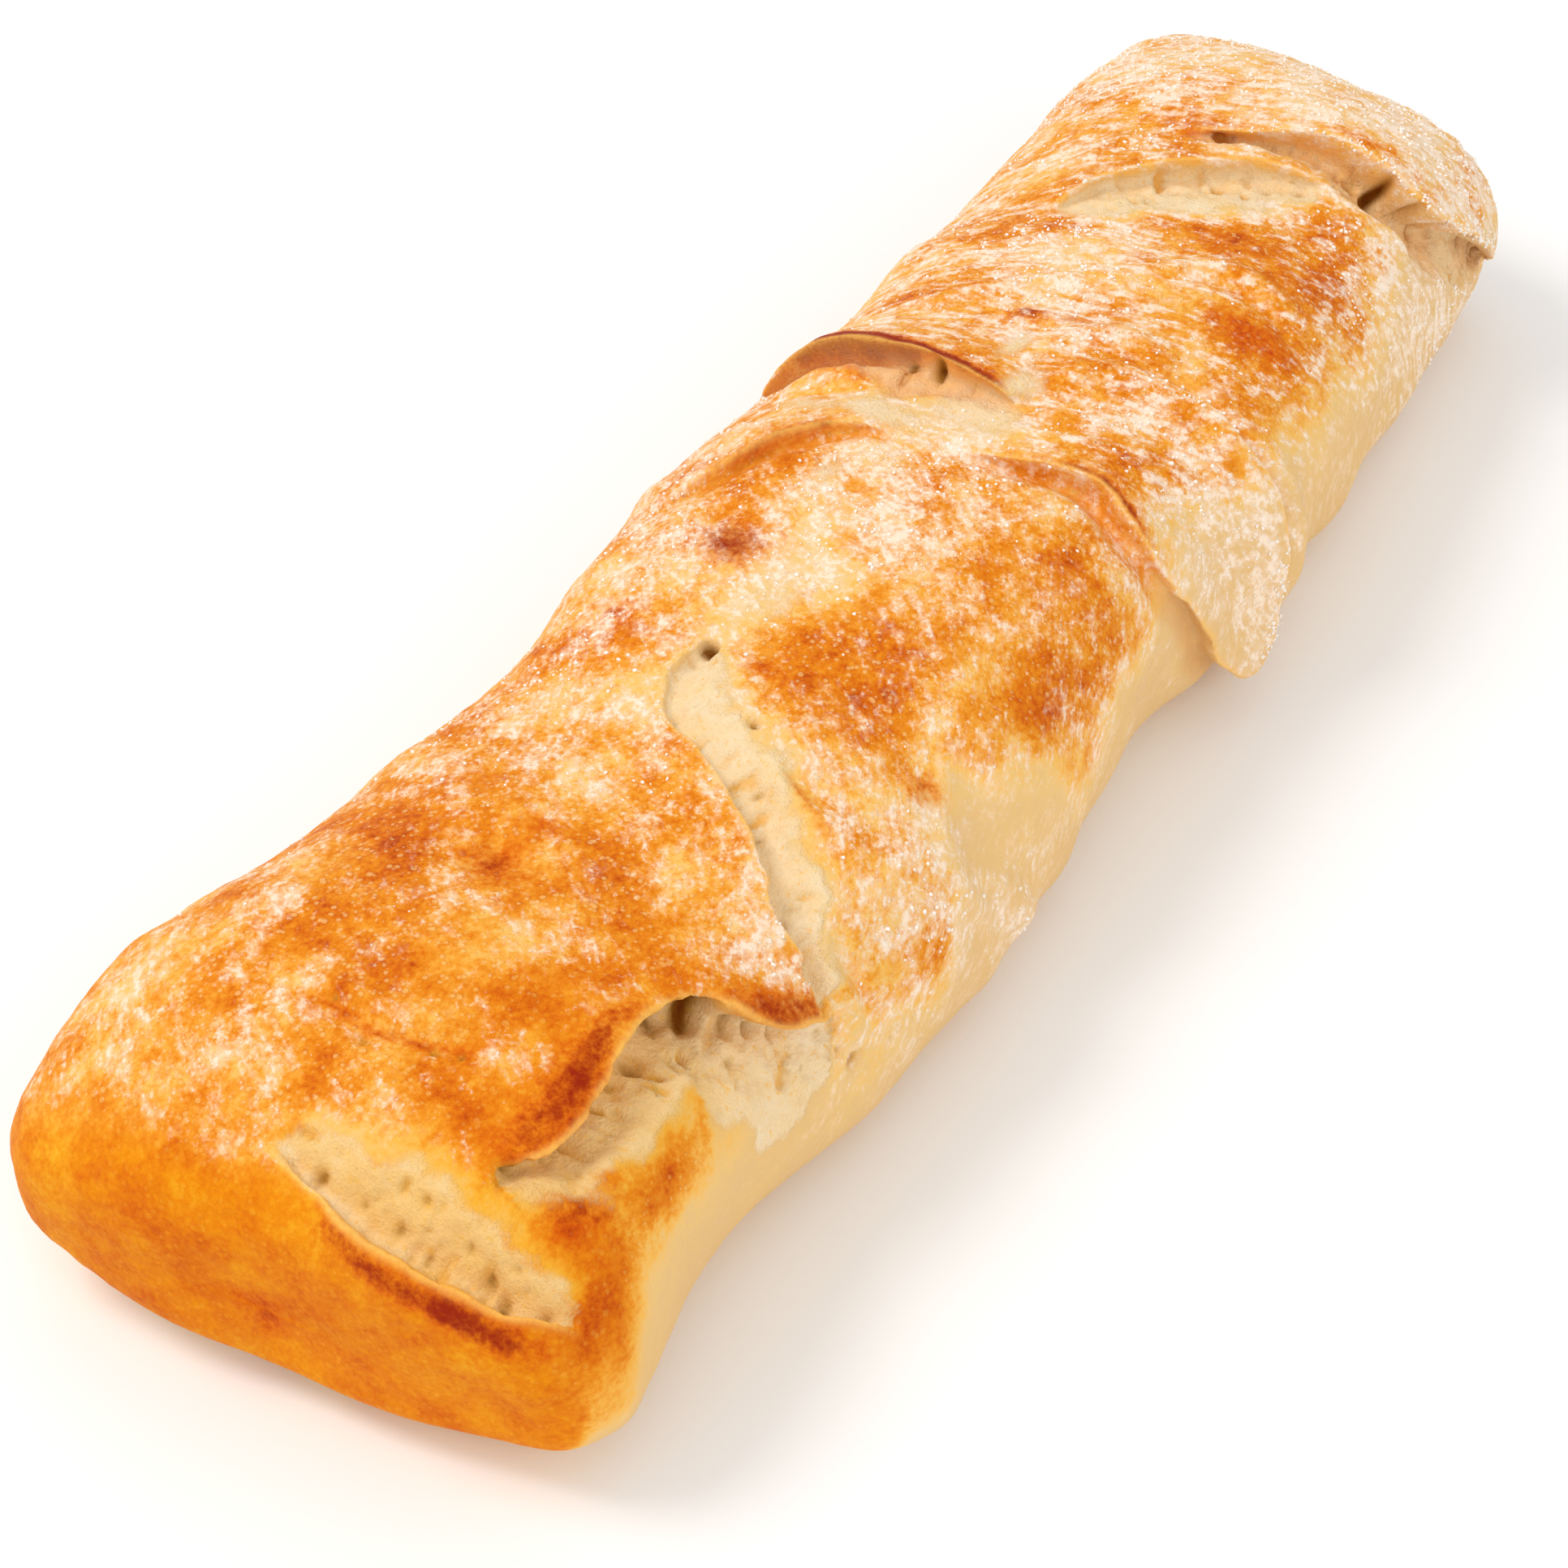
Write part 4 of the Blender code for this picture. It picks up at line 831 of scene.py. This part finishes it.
def crust_material():
    n = Nodes("crust")
    bake, toast_and_crease_shade, flour = n.field("bake"), n.field("toast_and_crease_shade"), n.field("flour")
    crumb, glow, edge, pit_shade = n.field("crumb"), n.field("glow"), n.field("edge"), n.field("pit_shade")
    amber, pale, strap, pore = n.field("amber"), n.field("pale"), n.field("strap"), n.field("pore")

    wide, broad = n.noise(26.0, 2), n.noise(11.0, 3)
    blotch, fine = n.noise(3.2, 4, 0.6), n.noise(1.0, 4, 0.65)
    mottle = n.sway(wide, 0.8, n.math("MULTIPLY_ADD", broad, 0.9, -0.45))
    mottle = n.sway(blotch, 0.6, mottle)
    mottle = n.sway(fine, 0.7, mottle)
    active = n.times(n.step(bake, 0.0, 0.5, 0.25, 1.0), n.step(amber, 0.5, 1.0, 1.0, 0.75))
    baked = n.math("MULTIPLY_ADD", mottle, active, bake, clamp=True)
    floured_crust = n.ramp(baked, (
        (0.0, (230, 190, 130)), (0.16, (238, 196, 124)), (0.30, (246, 190, 96)), (0.48, (240, 162, 54)),
        (0.68, (228, 132, 18)), (0.86, (210, 100, 6)), (1.0, (180, 68, 2)),
    ))
    amber_crust = n.ramp(baked, (
        (0.0, (234, 186, 90)), (0.25, (240, 168, 28)), (0.48, (232, 138, 2)),
        (0.68, (220, 112, 0)), (0.86, (202, 84, 0)), (1.0, (170, 54, 0)),
    ))
    colour = n.mix(amber, floured_crust, amber_crust)

    dots, _ = n.cells(1.5)
    size = n.times(n.noise(2.0, 1), 0.62)
    blister = n.step(n.math("SUBTRACT", size, dots), 0.0, 0.14)
    blister = n.times(blister, n.step(bake, 0.25, 0.55, 0.0, 0.5))
    blister = n.times(blister, n.step(amber, 0.0, 1.0, 1.0, 0.35))
    colour = n.mix(blister, colour, n.mix(amber, linear(250, 200, 128), linear(248, 184, 52)))

    # Toasted crust, and the painted shade in the near_wrinkle crease, take the burnt browns below.
    burnt_and_crease_shade = n.sway(blotch, 0.8, toast_and_crease_shade)
    burnt_and_crease_shade = n.sway(fine, 0.6, burnt_and_crease_shade)
    burnt_and_crease_shade = n.times(n.step(burnt_and_crease_shade, 0.05, 1.05), n.step(toast_and_crease_shade, 0.02, 0.2))
    burnt_and_crease_shade_crust = n.ramp(burnt_and_crease_shade, ((0.0, (228, 122, 8)), (0.55, (210, 82, 0)), (1.0, (152, 36, 0))))
    colour = n.mix(burnt_and_crease_shade, colour, burnt_and_crease_shade_crust)

    inner = n.times(glow, n.step(blotch, 0.3, 0.7, 0.6, 1.0))
    golden = n.ramp(fine, ((0.3, (204, 112, 30)), (0.7, (232, 156, 68))))
    golden = n.mix(n.times(strap, 0.7), golden, linear(250, 214, 164))
    # Painted shade: the cell hollows of a golden opening turn dark brown (162, 72, 8).
    golden = n.mix(n.step(pore, 0.1, 0.8), golden, linear(162, 72, 8))
    colour = n.mix(inner, colour, golden)
    # Painted shade: where this noise is low, the crumb takes the darker (255, 206, 126) as shade in its small
    # pores.
    unshaded_crumb = n.step(n.noise(1.1, 4, 0.6), 0.28, 0.46)
    dough = n.mix(n.noise(6.0, 2), linear(255, 214, 146), linear(255, 236, 204))
    crumb_colour = n.mix(unshaded_crumb, linear(255, 206, 126), dough)
    # Painted shade: the cell hollows of the crumb take a deeper gold (248, 188, 88).
    crumb_colour = n.mix(n.step(pore, 0.1, 0.9, 0.0, 0.9), crumb_colour, linear(248, 188, 88))
    crumb_colour = n.mix(n.times(amber, 0.6), crumb_colour, linear(250, 192, 78))
    uneven = n.sway(blotch, 0.7, crumb)
    torn = n.step(n.sway(fine, 0.5, uneven), 0.22, 0.72)
    colour = n.mix(torn, colour, crumb_colour)
    # Painted highlight: a lighter gold along the lip's rim, faint where the opening is golden.
    rim_highlight = n.times(edge, n.step(glow, 0.2, 0.8, 0.7, 0.1))
    colour = n.mix(rim_highlight, colour, linear(250, 192, 98))
    # Painted shade in the pits: dim gold to dark brown, darker where more shade is painted.
    pit = n.step(n.sway(fine, 0.3, pit_shade), 0.15, 0.9)
    pit_shade_colour = n.ramp(pit_shade, ((0.0, (222, 182, 92)), (0.5, (190, 138, 40)), (1.0, (126, 58, 6))))
    colour = n.mix(pit, colour, pit_shade_colour)

    bare = n.math("SUBTRACT", 1.0, n.times(torn, 0.8))
    drift, clump = n.noise(10.0, 4, 0.6), n.noise(3.0, 3, 0.6)
    twisted = n.noise(2.0, 3, 0.6, place=n.field("twist_flow", "Vector"))
    strapped = n.noise(2.0, 3, 0.6, place=n.field("strap_flow", "Vector"))
    streaks = n.blend(strap, twisted, strapped)
    level = n.sway(drift, 0.60, n.times(flour, 0.16))
    level = n.sway(clump, 0.45, level)
    level = n.sway(streaks, n.step(strap, 0.0, 1.0, 0.6, 1.1), level)
    level = n.math("SUBTRACT", level, n.step(baked, 0.42, 0.76, 0.0, 0.14))
    level = n.math("MULTIPLY_ADD", amber, -0.10, level)
    dusted = n.times(bare, n.step(flour, 0.02, 0.3))
    film = n.times(n.step(level, -0.06, 0.30, 0.0, 0.55), dusted)
    colour = n.mix(film, colour, linear(252, 220, 190))
    flecks = n.step(n.math("MULTIPLY_ADD", level, 0.8, n.noise(1.1, 3, 0.6)), 0.53, 0.78, 0.0, 0.68)
    distance, chance = n.cells(1.3)
    radius = n.math("MULTIPLY_ADD", level, 1.5, n.math("MULTIPLY_ADD", chance, 0.6, -0.40))
    radius = n.sway(fine, 0.9, radius)
    specks = n.step(n.math("SUBTRACT", radius, distance), -0.06, 0.18, 0.0, 0.9)
    dust = n.times(n.math("MAXIMUM", flecks, specks), dusted)
    colour = n.mix(dust, colour, n.mix(film, linear(254, 230, 202), linear(255, 244, 232)))

    rough = n.math("ADD", n.math("MULTIPLY_ADD", fine, 0.2, 0.5), n.times(dust, 0.25), clamp=True)
    n.surface(colour, rough, 0.08)
    grain = n.times(n.noise(0.5, 3, 0.6), n.step(pale, 0.0, 1.0, 0.8, 0.25))
    height = n.math("ADD", grain, n.times(dust, 0.5))
    height = n.math("MULTIPLY_ADD", blister, 0.7, height)
    height = n.math("MULTIPLY_ADD", n.times(torn, n.noise(0.8, 5, 0.7)), 1.7, height)
    height = n.math("MULTIPLY_ADD", blotch, 0.9, height)
    n.bump(height, 0.28)
    return n.material


def flour_material():
    n = Nodes("flour")
    n.surface(n.ramp(n.noise(0.8, 2), ((0.2, (252, 240, 226)), (0.8, (255, 251, 246)))), 0.95, 0.1)
    n.bump(n.noise(0.15, 2), 0.05)
    return n.material


# ---------------- loose flour

GRAINS = 5200
GRAIN_SIZE = (0.16, 0.42)


def make_grains(loaf):
    """Grains and small clumps of flour lying on the crust, as one joined mesh."""
    draw = np.random.default_rng(SEED)
    mesh = loaf.data
    count = len(mesh.vertices)
    points, normals, flour = np.empty(count * 3), np.empty(count * 3), np.empty(count)
    mesh.vertices.foreach_get("co", points)
    mesh.vertices.foreach_get("normal", normals)
    mesh.attributes["flour"].data.foreach_get("value", flour)
    points, normals = points.reshape(-1, 3), normals.reshape(-1, 3)
    heap = smoothstep(1.5 * fractal(points / MM, 3.0, 31.0) + 0.3)
    weight = np.clip(flour - 0.35, 0, 1) ** 2 * (0.15 + heap) * (points[:, 2] > 6 * MM)
    chosen = draw.choice(count, GRAINS, p=weight / weight.sum())
    unit = bmesh.new()
    bmesh.ops.create_icosphere(unit, subdivisions=1, radius=1.0)
    shape = np.array([v.co for v in unit.verts])
    faces = np.array([[v.index for v in f.verts] for f in unit.faces])
    unit.free()
    size = draw.uniform(*GRAIN_SIZE, (GRAINS, 1, 1)) * draw.uniform(0.6, 1.3, (GRAINS, 1, 3)) * MM
    bumps = draw.uniform(0.7, 1.25, (GRAINS, len(shape), 1))
    centre = points[chosen] + draw.normal(0, 0.35 * MM, (GRAINS, 3)) + normals[chosen] * 0.06 * MM
    centre -= normals[chosen] * ((centre - points[chosen]) * normals[chosen]).sum(axis=1, keepdims=True) * 0.8
    corners = (centre[:, None] + shape[None] * bumps * size).reshape(-1, 3)
    index = (faces[None] + np.arange(GRAINS)[:, None, None] * len(shape)).reshape(-1, 3)
    grains = bpy.data.meshes.new("flour")
    grains.from_pydata(corners.tolist(), [], index.tolist())
    grains.shade_smooth()
    return add_object("flour", grains)


# ---------------- floor, light and camera

CAMERA_AZIMUTH, CAMERA_ELEVATION, CAMERA_ROLL = -59.0, 42.0, 1.0  # degrees
CAMERA_DISTANCE, CAMERA_TARGET = 610.0, (-49.6, -7.0, 25.0)
LENS, SENSOR = 85.0, 36.0


def bearing(azimuth, elevation):
    """The direction from the object towards a viewer."""
    a, e = math.radians(azimuth), math.radians(elevation)
    return Vector((math.sin(a) * math.cos(e), -math.cos(a) * math.cos(e), math.sin(e)))


def add_camera():
    data = bpy.data.cameras.new("camera")
    data.lens, data.sensor_width = LENS, SENSOR
    camera = add_object("camera", data)
    back = bearing(CAMERA_AZIMUTH, CAMERA_ELEVATION)
    place = (Vector(CAMERA_TARGET) + back * CAMERA_DISTANCE) * MM
    turn = (-back).to_track_quat("-Z", "Y").to_matrix().to_4x4()
    roll = Matrix.Rotation(math.radians(CAMERA_ROLL), 4, "Z")
    camera.matrix_world = Matrix.Translation(place) @ turn @ roll
    bpy.context.scene.camera = camera


def add_light(name, azimuth, elevation, distance, size, watts, colour):
    data = bpy.data.lights.new(name, "AREA")
    data.shape, data.size, data.energy, data.color = "DISK", size, watts, colour
    lamp = add_object(name, data)
    back = bearing(azimuth, elevation)
    lamp.location = back * distance
    lamp.rotation_euler = back.to_track_quat("Z", "Y").to_euler()


def add_studio():
    floor_mesh = bpy.data.meshes.new("floor")
    sheet = bmesh.new()
    bmesh.ops.create_grid(sheet, x_segments=1, y_segments=1, size=6.0)
    sheet.to_mesh(floor_mesh)
    sheet.free()
    floor = add_object("floor", floor_mesh)
    n = Nodes("floor")
    n.surface((0.95, 0.95, 0.95, 1.0), 0.9, 0.5)
    floor_mesh.materials.append(n.material)
    world = bpy.data.worlds.new("studio")
    world.use_nodes = True
    sky = world.node_tree.nodes["Background"].inputs
    sky["Color"].default_value = (1.0, 1.0, 1.0, 1.0)
    sky["Strength"].default_value = 0.78
    bpy.context.scene.world = world
    add_light("key", azimuth=-150, elevation=52, distance=1.6, size=0.7, watts=9.8, colour=(1.0, 0.98, 0.95))
    add_light("fill", azimuth=-28, elevation=34, distance=2.0, size=1.2, watts=7.0, colour=(1.0, 1.0, 1.0))
    bpy.context.scene.view_settings.view_transform = "Standard"


add_camera()
add_studio()
loaf = make_loaf()
loaf.data.materials.append(crust_material())
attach(loaf, "root")
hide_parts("loaf")
flour = make_grains(loaf)
flour.data.materials.append(flour_material())
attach(flour, "root")
